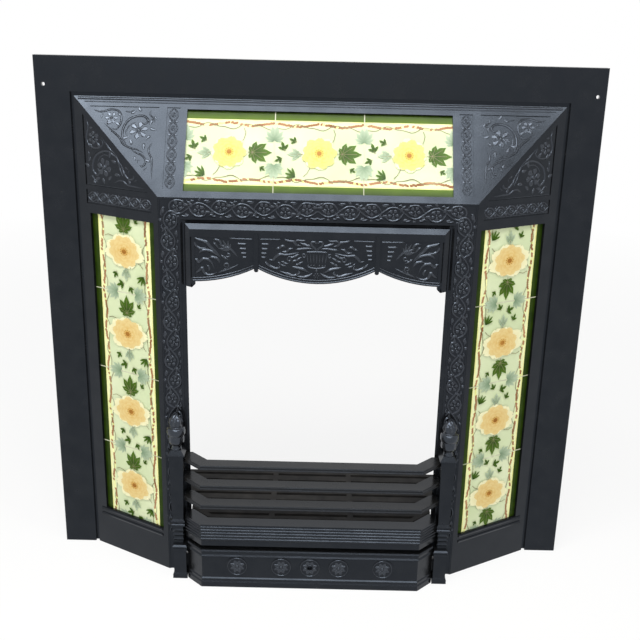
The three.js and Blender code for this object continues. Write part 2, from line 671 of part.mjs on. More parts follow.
function sidePanel(up, stack, flangeBolts, footBolts) {
  const ends = [() => 0, (across) => up * (splayOuterTop + across - mitre)];
  const plate = up === 1 ? panelPlate(ends[0], ends[1]) : panelPlate(ends[1], ends[0]);
  const along = [up * SIDE_WINDOW_LOW, up * sideWindowHigh].sort((a, b) => a - b);
  const panel = tiledPanel(plate, { along, up: sideWindowUp }, stack, flangeBolts, footBolts);
  const sills = Array.from({ length: SILL_BEADS }, (_, i) => {
    const top = SIDE_WINDOW_LOW - SILL_BELOW_WINDOW - i * SILL_SPACING;
    const bead = [
      [up * (top - SILL_BEAD), -1],
      [up * (top - SILL_BEAD), SILL_PROUD / 2],
      [up * (top - SILL_BEAD / 2), SILL_PROUD],
      [up * top, SILL_PROUD / 2],
      [up * top, -1],
    ];
    return prism(bead, -slope + SILL_SIDE_MARGIN, -SILL_SIDE_MARGIN, (a, b, c) => [a, c, b]);
  });
  const chainLow = sideWindowHigh + SIDE_CHAIN_ABOVE_WINDOW;
  const chainHigh = chainLow + SIDE_CHAIN_HEIGHT;
  const chain = [
    [chainLow, -slope + CHAIN_INNER_MARGIN],
    [chainHigh, -slope + CHAIN_INNER_MARGIN],
    [chainHigh, -FIELD_OUTER_MARGIN],
    [chainLow, -FIELD_OUTER_MARGIN],
  ];
  const base = chainHigh + SIDE_TRIANGLE_ABOVE_CHAIN;
  const triangle = [
    [base, -FIELD_OUTER_MARGIN],
    [splayOuterTop - FIELD_OUTER_MARGIN * cosSlope - FIELD_HIP_MARGIN, -FIELD_OUTER_MARGIN],
    [base, (base + FIELD_HIP_MARGIN - splayOuterTop) / cosSlope],
  ];
  const fields = [chain, triangle].map((outline) => relief(outline.map(([z, upSlope]) => [up * z, upSlope])));
  return cutBy(joined([panel, ...sills]), fields);
}

for (const [name, side] of [["left", -1], ["right", 1]]) {
  const up = -side;
  const group = panelGroup(
    [side * splayOuter, 0, 0],
    [0, 0, up],
    [side * cosSlope, sinSlope, 0],
    [side * sinSlope, -cosSlope, 0],
  );
  const ends = [up * sideStackLow, up * sideStackHigh].sort((a, b) => a - b);
  const stack = { from: ends[0], to: ends[1], middle: (sideWindowUp[0] + sideWindowUp[1]) / 2 };
  const flangeBolts = sideFlangeHeights.map((z) => up * z);
  const footBolts = lipBoltHeights.map((z) => up * z);
  group.add(meshOf(`${name}_panel`, sidePanel(up, stack, flangeBolts, footBolts), castIron));
  addTiles(group, `${name}_tile`, stack, sideTiles, up);
  addStrap(group, name, stack);
  addFlangeBolts(group, name, flangeBolts);
}

// ---- Arch ----------------------------------------------------------------------------------------
const archEdge = archLeg - FIT_GAP / cosSlope; // where its flange meets the panels'
const beadIn = ARCH_COVE;
const fieldIn = ARCH_COVE + ARCH_BEAD;
const fieldOut = fieldIn + ARCH_FIELD;
const fieldFloor = archFace + ARCH_FIELD_SINK;
const flangeTip = [
  archEdge - PANEL_FLANGE_DEPTH * sinSlope,
  archFace + PANEL_FLANGE_DEPTH * cosSlope,
];
const flangeInnerTip = [
  flangeTip[0] - ARCH_FLANGE_WALL * cosSlope,
  flangeTip[1] - ARCH_FLANGE_WALL * sinSlope,
];
const flangeRoot = flangeInnerTip[0] + ((flangeInnerTip[1] - archBack) * sinSlope) / cosSlope;
const revealFront = archFace + ARCH_COVE_SINK;
const revealBack = revealFront + REVEAL_DEPTH;
const archSection = [
  [0, revealFront],
  [beadIn * 0.55, revealFront - ARCH_COVE_SINK * 0.25],
  [beadIn, archFace + ARCH_FIELD_SINK],
  [beadIn, archFace - ARCH_BEAD_PROUD],
  [fieldIn, archFace - ARCH_BEAD_PROUD],
  [fieldIn, fieldFloor],
  [fieldOut, fieldFloor],
  [fieldOut, archFace],
  [archEdge, archFace],
  flangeTip,
  flangeInnerTip,
  [flangeRoot, archBack],
  [REVEAL_WALL + REVEAL_DRAFT / 2, archBack],
  [REVEAL_WALL + REVEAL_DRAFT, revealBack],
  [REVEAL_DRAFT, revealBack],
];
const archPath = [
  [-openingHalf, 0],
  [-openingHalf, openingTop],
  [openingHalf, openingTop],
  [openingHalf, 0],
];
const hoodTop = openingTop + HOOD_OVERLAP;
const hoodLugTop = hoodTop - HOOD_LUG_FROM_TOP;
const hoodBoltHeight = hoodLugTop - HOOD_LUG_LENGTH / 2;
const hoodBoltY = archBack + HOOD_LUG_DEPTH / 2 - 2;
const plinthBoltHeight = PLINTH_HEIGHT / 2;

function arch() {
  const throughX = (side, y, z) => {
    const reach = [side * (openingHalf - 1), side * (openingHalf + REVEAL_WALL + REVEAL_DRAFT + 1)];
    return prism(circle(y, z, holeRadius), Math.min(...reach), Math.max(...reach), alongX);
  };
  const throughY = (x, z) => prism(circle(x, z, holeRadius), archFace - 2, archBack + 1, inFace);
  const holes = [-1, 1].flatMap((side) => [
    throughX(side, hoodBoltY, hoodBoltHeight),
    throughY(side * postX, STUD_HEIGHT),
    throughY(side * plinthX, plinthBoltHeight),
  ]);
  return cutBy(mitredSweep(archPath, archSection, inFace), [...holes, ...archFlangeHoles()]);
}

// The flange holes line up with the panels', so they are drawn in the panels' frames and moved.
function archFlangeHoles() {
  const round = (x) => flangeHole(x, flangeBoltStart - 1, -slope + 1);
  const moved = (solid, group) => {
    group.updateMatrix();
    return solid.transform(group.matrix.elements);
  };
  const groups = fireplace.children.filter((child) => child.isGroup);
  const [top, left, right] = groups;
  return [
    ...topFlangeBolts.map((x) => moved(round(x), top)),
    ...sideFlangeHeights.map((z) => moved(round(z), left)),
    ...sideFlangeHeights.map((z) => moved(round(-z), right)),
  ];
}
fireplace.add(meshOf("arch", arch(), castIron));

// ---- Hood ----------------------------------------------------------------------------------------
const hoodHalf = openingHalf - FIT_GAP;
const hoodFoot = hoodTop - HOOD_HEIGHT;
const lobeLow = hoodFoot + HOOD_LOBE_ABOVE_FOOT;
const hoodFace = archFace - HOOD_PROUD;
const hoodRimBack = revealFront - ARCH_COVE_SINK * 0.25 - FIT_GAP;
const ribIn = HOOD_RIB_FROM_CENTRE - HOOD_RIB_WIDTH / 2;
const ribOut = HOOD_RIB_FROM_CENTRE + HOOD_RIB_WIDTH / 2;

// The lobes hang from the ribs at one level and reach down to one level. So the side lobes' radius
// follows from the middle lobe's rise and from how far their lowest points lie from the ribs.
const lobeRise = HOOD_LOBE_RADIUS - Math.sqrt(HOOD_LOBE_RADIUS ** 2 - ribIn ** 2);
const sideLobeAt = hoodHalf - HOOD_SIDE_LOBE_IN;
const middleLobe = { centre: 0, radius: HOOD_LOBE_RADIUS };
const rightLobe = {
  centre: sideLobeAt,
  radius: (lobeRise ** 2 + (sideLobeAt - ribOut) ** 2) / (2 * lobeRise),
};
const leftLobe = { ...rightLobe, centre: -sideLobeAt };

// Points of a lobe's lower edge, or of a line above it, from one x to another.
function lobeLine({ centre, radius }, from, to, raised = 0) {
  const steps = 8;
  return Array.from({ length: steps + 1 }, (_, i) => {
    const x = from + ((to - from) * i) / steps;
    return [x, lobeLow + radius - Math.sqrt((radius - raised) ** 2 - (x - centre) ** 2)];
  });
}

function hoodField(lobe, from, to) {
  const top = hoodTop - HOOD_FIELD_TOP;
  const outline = [...lobeLine(lobe, from, to, HOOD_FIELD_BORDER), [to, top], [from, top]];
  return prism(outline, hoodFace - 1, hoodFace + FIELD_SINK, inFace);
}

function hood() {
  const right = [
    ...lobeLine(middleLobe, 0, ribIn),
    ...lobeLine(rightLobe, ribOut, sideLobeAt),
    [hoodHalf - HOOD_FOOT_WIDTH, lobeLow - HOOD_LOBE_ABOVE_FOOT / 2],
    [hoodHalf, hoodFoot],
    [hoodHalf, hoodTop],
  ];
  const left = right.slice(1).reverse().map(([x, z]) => [-x, z]);
  const inset = HOOD_RIM / 2;
  const plateOutline = [...right, ...left].map(([x, z]) => [
    Math.max(-hoodHalf + inset, Math.min(hoodHalf - inset, x)),
    Math.min(z, hoodTop - inset),
  ]);
  const plate = prism(plateOutline, hoodFace, hoodFace + HOOD_PLATE, inFace);
  const rimSection = [
    [0, hoodRimBack],
    [0, archFace],
    [-HOOD_BEVEL, hoodFace],
    [-HOOD_RIM, hoodFace],
    [-HOOD_RIM, hoodFace + HOOD_PLATE],
    [-HOOD_RIM_WALL, hoodRimBack],
  ];
  const rimPath = [[-hoodHalf, hoodFoot], [-hoodHalf, hoodTop], [hoodHalf, hoodTop], [hoodHalf, hoodFoot]];
  const rim = mitredSweep(rimPath, rimSection, inFace);
  const sides = [-1, 1].flatMap((side) => {
    const ribX = [side * ribIn, side * ribOut].sort((a, b) => a - b);
    const ribLow = lobeLow + lobeRise - 1;
    const rib = box(ribX, [hoodFace - HOOD_RIB_PROUD, hoodFace + 1], [ribLow, hoodTop - HOOD_BEVEL - 2]);
    const drop = turned(
      [[0, -HOOD_DROP_LENGTH], [HOOD_DROP_RADIUS * 0.7, -HOOD_DROP_LENGTH * 0.85],
        [HOOD_DROP_RADIUS, -HOOD_DROP_LENGTH / 2], [HOOD_DROP_RADIUS * 0.8, 2], [0, 2]],
      8,
    ).translate([side * HOOD_RIB_FROM_CENTRE, hoodFace + HOOD_DROP_RADIUS * 0.4, ribLow]);
    const lugX = [side * (hoodHalf - HOOD_RIM_WALL), side * hoodHalf].sort((a, b) => a - b);
    const lugY = [hoodRimBack - 1, archBack + HOOD_LUG_DEPTH];
    const lug = box(lugX, lugY, [hoodLugTop - HOOD_LUG_LENGTH, hoodLugTop]);
    return [rib, drop, lug];
  });
  const fieldSide = sideLobeAt + HOOD_FIELD_BORDER / 2;
  const fields = [
    hoodField(middleLobe, -ribIn + HOOD_RIB_PROUD, ribIn - HOOD_RIB_PROUD),
    hoodField(rightLobe, ribOut + HOOD_RIB_PROUD, fieldSide),
    hoodField(leftLobe, -fieldSide, -ribOut - HOOD_RIB_PROUD),
  ];
  const boltHoles = [-1, 1].map((side) => {
    const reach = [side * (hoodHalf - HOOD_RIM_WALL - 1), side * (hoodHalf + 1)];
    const round = circle(hoodBoltY, hoodBoltHeight, holeRadius);
    return prism(round, Math.min(...reach), Math.max(...reach), alongX);
  });
  const chamfers = [-1, 1].map((side) => {
    const inner = hoodHalf - HOOD_RIM;
    const corner = [
      [inner - 1, hoodFoot - 1],
      [inner + HOOD_FOOT_CHAMFER, hoodFoot - 1],
      [inner + HOOD_FOOT_CHAMFER, hoodFoot],
      [inner, hoodFoot + HOOD_FOOT_CHAMFER],
      [inner - 1, hoodFoot + HOOD_FOOT_CHAMFER],
    ];
    return prism(corner.map(([x, z]) => [side * x, z]), hoodFace - 1, hoodRimBack + 1, inFace);
  });
  return cutBy(joined([cutBy(plate, fields), rim, ...sides]), [...boltHoles, ...chamfers]);
}
fireplace.add(meshOf("hood", hood(), castIron));

// ---- Posts that hang on studs in the arch legs, finials and plinth blocks ------------------------
const hookTop = STUD_HEIGHT + BOLT_RADIUS + FIT_GAP;
const studHead = standBack - HOOK_WALL - FIT_GAP;
const collarLow = postFoot + POST_FOOT_HEIGHT;
const postCollarOut = POST_COLLAR_OUT - POST_TAPER;
const shaftLow = collarLow + POST_COLLAR_HEIGHT;
const capLow = postTop - POST_CAP_HEIGHT;
const finialY = standBack - FINIAL_DISH_RADIUS - FIT_GAP;

function post(side) {
  const ridge = POST_FOOT_HEIGHT / (POST_RIDGES + 1);
  const ridges = Array.from({ length: POST_RIDGES }, (_, i) => {
    const middle = postFoot + ridge * (i + 1);
    return [
      [middle - ridge / 3, -POST_FOOT_IN],
      [middle, POST_RIDGE_OUT - POST_FOOT_IN],
      [middle + ridge / 3, -POST_FOOT_IN],
    ];
  }).flat();
  const levels = [
    [postFoot, -POST_FOOT_IN],
    ...ridges,
    [collarLow, -POST_FOOT_IN],
    [collarLow + POST_COLLAR_HEIGHT * 0.05, postCollarOut],
    [collarLow + POST_COLLAR_HEIGHT * 0.25, postCollarOut],
    [collarLow + POST_COLLAR_HEIGHT * 0.45, -POST_TAPER],
    [collarLow + POST_COLLAR_HEIGHT * 0.55, postCollarOut],
    [collarLow + POST_COLLAR_HEIGHT * 0.75, postCollarOut],
    [shaftLow, -POST_TAPER],
    [capLow, 0],
    [capLow + POST_CAP_HEIGHT * 0.06, POST_CAP_OUT],
    [capLow + POST_CAP_HEIGHT * 0.2, POST_CAP_OUT],
    [postTop, -POST_CAP_IN],
  ];
  const body = steppedBlock(side * postX, POST_WIDTH / 2, postFront, standBack, levels);
  const span = (half) => [side * postX - half, side * postX + half];
  const wide = BOLT_HEAD_RADIUS + SLIDE_GAP;
  const entryHigh = STUD_HEIGHT - LIFT_ROOM + wide;
  const entryLow = STUD_HEIGHT - LIFT_ROOM - wide;
  const hollowFront = postFront + POST_WALL;
  const hollow = box(
    span(POST_WIDTH / 2 - POST_WALL),
    [hollowFront, standBack - HOOK_WALL],
    [entryLow, capLow],
  );
  const entry = box(span(wide), [hollowFront, standBack + 1], [entryLow, entryHigh]);
  const slot = box(span(BOLT_RADIUS + HOLE_GAP), [hollowFront, standBack + 1], [entryLow, hookTop]);
  const socket = prism(
    circle(side * postX, finialY, SPIGOT_RADIUS + HOLE_GAP),
    postTop - SPIGOT_LENGTH - FIT_GAP,
    postTop + 1,
  );
  const mortises = barLevels().map((low) => tenon(side, low, HOLE_GAP));
  const overhang = [side * (postInner - POST_CAP_OUT - 1), side * postInner].sort((a, b) => a - b);
  const topBar = [BAR_TOP - BAR_HEIGHT - FIT_GAP, BAR_TOP + FIT_GAP];
  const housing = box(overhang, [postFront - POST_CAP_OUT - 1, standBack + 1], topBar);
  return cutBy(body, [hollow, entry, slot, socket, housing, ...mortises]);
}

function finial() {
  const dish = FINIAL_DISH_RADIUS;
  return turned(
    [
      [0, -SPIGOT_LENGTH],
      [SPIGOT_RADIUS, -SPIGOT_LENGTH],
      [SPIGOT_RADIUS, FIT_GAP],
      [dish * 0.55, FIT_GAP],
      [dish * 0.55, FINIAL_HEIGHT * 0.04],
      [dish * 0.45, FINIAL_HEIGHT * 0.07],
      [dish * 0.45, FINIAL_HEIGHT * 0.12],
      [dish * 0.8, FINIAL_HEIGHT * 0.2],
      [dish * 0.88, FINIAL_HEIGHT * 0.26],
      [dish * 0.85, FINIAL_HEIGHT * 0.4],
      [dish * 0.95, FINIAL_HEIGHT * 0.44],
      [dish, FINIAL_HEIGHT * 0.49],
      [dish, FINIAL_HEIGHT * 0.57],
      [dish * 0.88, FINIAL_HEIGHT * 0.63],
      [dish * 0.6, FINIAL_HEIGHT * 0.66],
      [dish * 0.67, FINIAL_HEIGHT * 0.74],
      [dish * 0.62, FINIAL_HEIGHT * 0.82],
      [dish * 0.4, FINIAL_HEIGHT * 0.92],
      [dish * 0.12, FINIAL_HEIGHT * 0.98],
      [0, FINIAL_HEIGHT],
    ],
    FINIAL_SIDES,
  );
}

function plinth(side) {
  const levels = [
    [0, PLINTH_BASE_OUT],
    [PLINTH_BASE_HEIGHT, PLINTH_BASE_OUT],
    [PLINTH_BASE_HEIGHT * 1.5, 0],
    [PLINTH_HEIGHT - PLINTH_CAP_HEIGHT, 0],
    [PLINTH_HEIGHT - PLINTH_CAP_HEIGHT * 0.95, PLINTH_BASE_OUT],
    [PLINTH_HEIGHT - PLINTH_CAP_HEIGHT * 0.75, PLINTH_BASE_OUT],
    [PLINTH_HEIGHT - PLINTH_CAP_HEIGHT * 0.55, PLINTH_BASE_OUT / 2],
    [PLINTH_HEIGHT - PLINTH_CAP_HEIGHT * 0.45, PLINTH_BASE_OUT],
    [PLINTH_HEIGHT - PLINTH_CAP_HEIGHT * 0.25, PLINTH_BASE_OUT],
    [PLINTH_HEIGHT, 0],
  ];
  const body = steppedBlock(side * plinthX, PLINTH_WIDTH / 2, plinthFront, standBack, levels);
  const fromBack = prism(
    circle(side * plinthX, plinthBoltHeight, holeRadius),
    standBack - plinthBoltDepth - FIT_GAP,
    standBack + 1,
    inFace,
  );
  const reach = [side * (plinthInner - 1), side * (plinthInner + apronBoltDepth + FIT_GAP)];
  const fromInside = prism(
    circle(apronBoltY, apronBoltHeight, holeRadius),
    Math.min(...reach),
    Math.max(...reach),
    alongX,
  );
  return cutBy(body, [fromBack, fromInside]);
}

// ---- Bars ----------------------------------------------------------------------------------------
// The plan of the bars' front face, from right to left, so that out is towards the room.
const barEnd = postInner - FIT_GAP;
const slantedPlan = (half, end, face = frontFace) => [
  [end, face + end - half],
  [half, face],
  [-half, face],
  [-end, face + end - half],
];
const endCuts = { start: [0, -1], end: [0, -1] };

function barLevels() {
  return Array.from({ length: BAR_COUNT }, (_, i) => BAR_TOP - BAR_HEIGHT - i * BAR_PITCH);
}

// The stub at a bar's end that fills a mortise in the post's inner wall, or the mortise itself.
function tenon(side, low, grown = 0) {
  const reach = [side * (barEnd - 1), side * (barEnd + TENON_LENGTH + grown)];
  const back = standBack - HOOK_WALL;
  return box(
    [Math.min(...reach), Math.max(...reach)],
    [back - TENON_WIDTH - grown, back + grown],
    [low + (BAR_HEIGHT - TENON_HEIGHT) / 2 - grown, low + (BAR_HEIGHT + TENON_HEIGHT) / 2 + grown],
  );
}

function bar(low) {
  const section = [
    ...bead(-BAR_BEAD_ROUND, BAR_BEAD_ROUND, low, low + BAR_BEAD),
    ...bead(-BAR_BEAD_ROUND, BAR_BEAD_ROUND, low + BAR_HEIGHT - BAR_BEAD, low + BAR_HEIGHT),
    [-BAR_DEPTH, low + BAR_HEIGHT],
    [-BAR_DEPTH, low + BAR_HEIGHT * 0.25],
    [-BAR_DEPTH * 0.4, low],
  ];
  const rail = mitredSweep(slantedPlan(frontHalf, barEnd), section, inPlan, endCuts);
  const behind = box([-postX, postX], [standBack, 0], [low - 1, low + BAR_HEIGHT + 1]);
  return joined([cutBy(rail, [behind]), tenon(-1, low), tenon(1, low)]);
}
["top_bar", "middle_bar", "bottom_bar"].forEach((name, i) => {
  fireplace.add(meshOf(name, bar(barLevels()[i]), castIron));
});

// ---- Apron: the reeded front under the bars, with a ledge for the bottom grate -------------------
const apronLow = apronTop - APRON_HEIGHT;
const apronLegX = plinthInner - FIT_GAP;
const apronEnd = postInner - Math.max(0, postCollarOut) - FIT_GAP;
const apronBoltY = standBack - APRON_LEG_DEPTH / 2 - 1;
const apronBoltHeight = apronLow / 2;
const apronBoltDepth = 12;
const plinthBoltDepth = 15;

function apron() {
  const reedTop = apronTop - APRON_NOSING - APRON_COVE;
  const reeds = Array.from({ length: REED_COUNT }, (_, i) => {
    const low = reedTop - (REED_COUNT - i) * REED_PITCH;
    return [
      [-REED_DEPTH, low],
      [-REED_DEPTH * 0.2, low + REED_PITCH * 0.25],
      [0, low + REED_PITCH * 0.5],
      [-REED_DEPTH * 0.2, low + REED_PITCH * 0.75],
    ];
  }).flat();
  const ledgeTop = apronTop - APRON_LEDGE_SINK;
  const section = [
    [-REED_DEPTH, apronLow],
    ...reeds,
    [-REED_DEPTH, reedTop],
    [0, apronTop - APRON_NOSING],
    [0, apronTop],
    [-BAR_DEPTH, apronTop],
    [-BAR_DEPTH, ledgeTop],
    [-BAR_DEPTH - APRON_LEDGE, ledgeTop],
    [-BAR_DEPTH - APRON_LEDGE, ledgeTop - APRON_SHELF],
    [-APRON_WALL - REED_DEPTH, ledgeTop - APRON_SHELF],
    [-APRON_WALL - REED_DEPTH, apronLow],
  ];
  const front = mitredSweep(slantedPlan(frontHalf, apronEnd), section, inPlan, endCuts);
  const behind = box([-postX, postX], [standBack, 0], [apronLow - 1, apronTop + 1]);
  const legY = [standBack - APRON_LEG_DEPTH, standBack];
  const legs = [-1, 1].map((side) => {
    const legX = [side * (apronLegX - APRON_LEG_WIDTH), side * apronLegX].sort((a, b) => a - b);
    return box(legX, legY, [0, ledgeTop - 1]);
  });
  const holes = [-1, 1].map((side) => {
    const reach = [side * (apronLegX - APRON_LEG_WIDTH - 1), side * (apronLegX + 1)];
    const round = circle(apronBoltY, apronBoltHeight, holeRadius);
    return prism(round, Math.min(...reach), Math.max(...reach), alongX);
  });
  return cutBy(joined([cutBy(front, [behind]), ...legs]), holes);
}
fireplace.add(meshOf("apron", apron(), castIron));

for (const [name, side] of [["left", -1], ["right", 1]]) {
  fireplace.add(meshOf(`${name}_post`, post(side), castIron));
  const top = meshOf(`${name}_finial`, finial(), castIron);
  top.position.set(side * postX, finialY, postTop);
  fireplace.add(top);
  fireplace.add(meshOf(`${name}_plinth`, plinth(side), castIron));

  const stud = meshOf(`${name}_stud`, boltSolid(archBack - studHead), steel);
  stud.position.set(side * postX, studHead, STUD_HEIGHT);
  stud.rotation.x = -Math.PI / 2;
  fireplace.add(stud);

  const plinthBoltLength = archBack - standBack + plinthBoltDepth;
  const plinthBoltAt = [side * plinthX, archBack + FIT_GAP, plinthBoltHeight];
  addBolt(fireplace, `${name}_plinth_bolt`, plinthBoltAt, [0, -1, 0], plinthBoltLength);
  const apronBoltAt = [side * (apronLegX - APRON_LEG_WIDTH - FIT_GAP), apronBoltY, apronBoltHeight];
  const apronBoltLength = APRON_LEG_WIDTH + FIT_GAP + apronBoltDepth;
  addBolt(fireplace, `${name}_apron_bolt`, apronBoltAt, [side, 0, 0], apronBoltLength);
  const hoodBoltAt = [side * (hoodHalf - HOOD_RIM_WALL - FIT_GAP), hoodBoltY, hoodBoltHeight];
  const hoodBoltLength = HOOD_RIM_WALL + FIT_GAP + REVEAL_WALL;
  addBolt(fireplace, `${name}_hood_bolt`, hoodBoltAt, [side, 0, 0], hoodBoltLength);
}

// ---- Ash cover -----------------------------------------------------------------------------------
function ashCover() {
  const fascia = COVER_HEIGHT - COVER_FASCIA;
  const topBeadProud = COVER_BEAD_PROUD - COVER_FASCIA_PROUD;
  const section = [
    [COVER_BASE_PROUD, 0],
    [COVER_BASE_PROUD, COVER_BASE_HEIGHT * 0.5],
    [COVER_BASE_PROUD / 2, COVER_BASE_HEIGHT * 0.65],
    [COVER_BASE_PROUD / 2, COVER_BASE_HEIGHT * 0.88],
    [0, COVER_BASE_HEIGHT],
    ...bead(0, COVER_BEAD_PROUD, fascia - COVER_BEAD, fascia),
    [COVER_FASCIA_PROUD, fascia + COVER_FASCIA_PROUD],
    ...bead(COVER_FASCIA_PROUD, topBeadProud, COVER_HEIGHT - COVER_BEAD, COVER_HEIGHT),
    [-COVER_FLANGE, COVER_HEIGHT],
    [-COVER_FLANGE, COVER_HEIGHT - COVER_WALL],
    [-COVER_WALL, COVER_HEIGHT - COVER_WALL],
    [-COVER_WALL, 0],
  ];
  const plan = slantedPlan(coverHalf, plinthInner - SLIDE_GAP, coverFace);
  const shell = mitredSweep(plan, section, inPlan, endCuts);
  const middle = (COVER_BASE_HEIGHT + fascia) / 2;
  const far = coverHalf - ROSETTE_FROM_CORNER;
  const rosettes = [-far, -ROSETTE_NEAR, 0, ROSETTE_NEAR, far].map((x) => {
    return prism(circle(x, middle, ROSETTE_RADIUS, 24), coverFace - ROSETTE_PROUD, coverFace + 1, inFace);
  });
  const pit = prism(
    circle(0, middle, COVER_PIT_RADIUS),
    coverFace - ROSETTE_PROUD - 1,
    coverFace + COVER_WALL - COVER_PIT_FLOOR,
    inFace,
  );
  const legFront = standBack - APRON_LEG_DEPTH - FIT_GAP;
  const behind = box([-plinthInner, plinthInner], [legFront, 0], [-1, COVER_HEIGHT + 1]);
  return cutBy(joined([shell, ...rosettes]), [pit, behind]);
}
fireplace.add(meshOf("ash_cover", ashCover(), castIron));

// ---- Bottom grate: its front rim lies on the apron's ledge and its rear stands on two legs -------
// The grate's plan, or the same plan drawn in by a margin. Its corners run beside the bars' ends, and
// it widens behind the arch.
function gratePlan(margin) {
  const behindBars = BAR_DEPTH + SLIDE_GAP * 2 + margin;
  const front = frontFace + behindBars;
  const corner = frontHalf + behindBars - behindBars * Math.SQRT2;
  const half = grateHalf - margin;
  const right = [
    [corner, front],
    [half, front + half - corner],
    [half, revealBack + SLIDE_GAP + margin],
    [half + GRATE_SHOULDER, revealBack + SLIDE_GAP + margin],
    [half + GRATE_FLARE, GRATE_REAR - margin],
  ];
  return [...right, ...right.map(([x, y]) => [-x, y]).reverse()];
}

function bottomGrate() {
  const low = apronTop - APRON_LEDGE_SINK + FIT_GAP;
  const plate = prism(gratePlan(0), low, apronTop);
  const inside = prism(gratePlan(GRATE_RIM), low - 1, apronTop + 1);
  const front = gratePlan(GRATE_RIM)[0][1];
  const slotWidth = (2 * (grateHalf - GRATE_RIM) - (GRATE_COLUMNS - 1) * GRATE_RIB) / GRATE_COLUMNS;
  const slat = (GRATE_REAR - GRATE_RIM - front - GRATE_ROWS * GRATE_SLOT) / (GRATE_ROWS - 1);
  const slots = Array.from({ length: GRATE_ROWS * GRATE_COLUMNS }, (_, i) => {
    const column = i % GRATE_COLUMNS;
    const x = -grateHalf + GRATE_RIM + column * (slotWidth + GRATE_RIB);
    const from = column === 0 ? x - GRATE_FLARE : x;
    const to = x + slotWidth + (column === GRATE_COLUMNS - 1 ? GRATE_FLARE : 0);
    const y = front + Math.floor(i / GRATE_COLUMNS) * (GRATE_SLOT + slat);
    return box([from, to], [y, y + GRATE_SLOT], [low - 1, apronTop + 1]).intersect(inside);
  });
  const legs = [-1, 1].map((side) => {
    const outer = grateHalf - GRATE_LEG_INSET;
    const x = [side * (outer - GRATE_LEG), side * outer].sort((a, b) => a - b);
    return box(x, [GRATE_REAR - GRATE_LEG, GRATE_REAR], [0, low + 1]);
  });
  return joined([cutBy(plate, slots), ...legs]);
}
fireplace.add(meshOf("bottom_grate", bottomGrate(), darkIron));

// ---- The part, standing on z = 0 with its box centred in X and Y ---------------------------------
const part = new THREE.Group();
fireplace.position.y = (Math.max(FRONT_REACH, COVER_REACH + COVER_BASE_PROUD) - GRATE_REAR) / 2;
part.add(fireplace);

export default part;
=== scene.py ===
"""Dresses the tiled cast iron fireplace: relief ornament, tile glaze, turned finials, lighting."""

import math
import random

import bpy
import numpy as np
from mathutils import Matrix, Vector


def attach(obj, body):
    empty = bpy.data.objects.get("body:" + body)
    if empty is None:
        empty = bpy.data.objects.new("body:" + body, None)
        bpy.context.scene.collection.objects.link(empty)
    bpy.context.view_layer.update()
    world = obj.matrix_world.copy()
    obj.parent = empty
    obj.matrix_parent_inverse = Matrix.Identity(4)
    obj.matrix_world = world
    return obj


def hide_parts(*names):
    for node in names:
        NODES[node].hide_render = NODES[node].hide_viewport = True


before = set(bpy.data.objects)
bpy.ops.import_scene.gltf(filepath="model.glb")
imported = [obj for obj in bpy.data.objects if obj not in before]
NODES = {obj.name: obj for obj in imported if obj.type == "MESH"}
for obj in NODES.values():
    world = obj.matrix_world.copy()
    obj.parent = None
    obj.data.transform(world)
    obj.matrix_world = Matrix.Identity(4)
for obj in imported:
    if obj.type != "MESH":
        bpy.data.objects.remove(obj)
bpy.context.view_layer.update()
MM = 0.001

# ---- The CAD's sizes that the ornament follows, in millimetres -----------------------------------
Y_SHIFT = 42.0  # from the frame's front face to the part's own origin
SPLAY_OUTER = 424.0  # half the width over the panels' outer edges
SPLAY_OUTER_TOP = 872.0
SPLAY_RUN = 155.0  # a panel's width, seen from the front
SPLAY_DEPTH = 92.0
ARCH_FACE = -92.0
OPENING_HALF = 224.5
OPENING_TOP = 672.5
FIELD_IN = 11.5  # from the opening's edge to the arch's relief field
FIELD_WIDTH = 30.0
FIELD_SINK = 1.5
HOOD_FACE = -101.0
HOOD_LOBE_LOW = 574.5
HOOD_LOBE_RADIUS = 217.0
HOOD_RIB = 103.0
HOOD_RIB_HALF = 3.5
HOOD_SIDE_LOBE = 211.2
COVER_FACE = -146.0
COVER_ROSETTES = (-134.0, -53.0, 0.0, 53.0, 134.0)
COVER_MIDDLE = 43.0
TILE = 152.4
TILE_PITCH = 153.0
TILE_FACE = -5.3
POST_X = 245.75
FINIAL_Y = -110.1
POST_TOP = 262.0

SLOPE = math.hypot(SPLAY_RUN, SPLAY_DEPTH)
COS = SPLAY_RUN / SLOPE
SIN = SPLAY_DEPTH / SLOPE
HOOD_LOBE_HALF = HOOD_RIB - HOOD_RIB_HALF
HOOD_LOBE_RISE = HOOD_LOBE_RADIUS - math.sqrt(HOOD_LOBE_RADIUS ** 2 - HOOD_LOBE_HALF ** 2)
HOOD_SIDE_HALF = HOOD_SIDE_LOBE - HOOD_RIB - HOOD_RIB_HALF
HOOD_SIDE_RADIUS = (HOOD_LOBE_RISE ** 2 + HOOD_SIDE_HALF ** 2) / (2 * HOOD_LOBE_RISE)


# ---- Camera --------------------------------------------------------------------------------------
CAMERA_TURN = (0.3165, 0.0235, -0.0015)  # turn vector from level and square on, radians
CAMERA_PLACE = (4.5, -1612.8 + Y_SHIFT, 1005.2)  # millimetres
CAMERA_LENS = 51.58


def make_camera():
    """The photo's viewpoint: 1.6 m in front of the frame, 1 m up, looking down."""
    turn = Vector(CAMERA_TURN)
    look = Matrix.Rotation(turn.length, 3, turn.normalized())
    base = Matrix(((1, 0, 0), (0, 0, -1), (0, 1, 0)))
    rows = base @ look
    data = bpy.data.cameras.new("camera")
    data.sensor_width = 36.0
    data.lens = CAMERA_LENS
    data.dof.use_dof = False
    camera = bpy.data.objects.new("camera", data)
    axes = Matrix((rows[0], -rows[1], -rows[2])).transposed().to_4x4()
    camera.matrix_world = Matrix.Translation(Vector(CAMERA_PLACE) * MM) @ axes
    bpy.context.scene.collection.objects.link(camera)
    bpy.context.scene.camera = camera


make_camera()


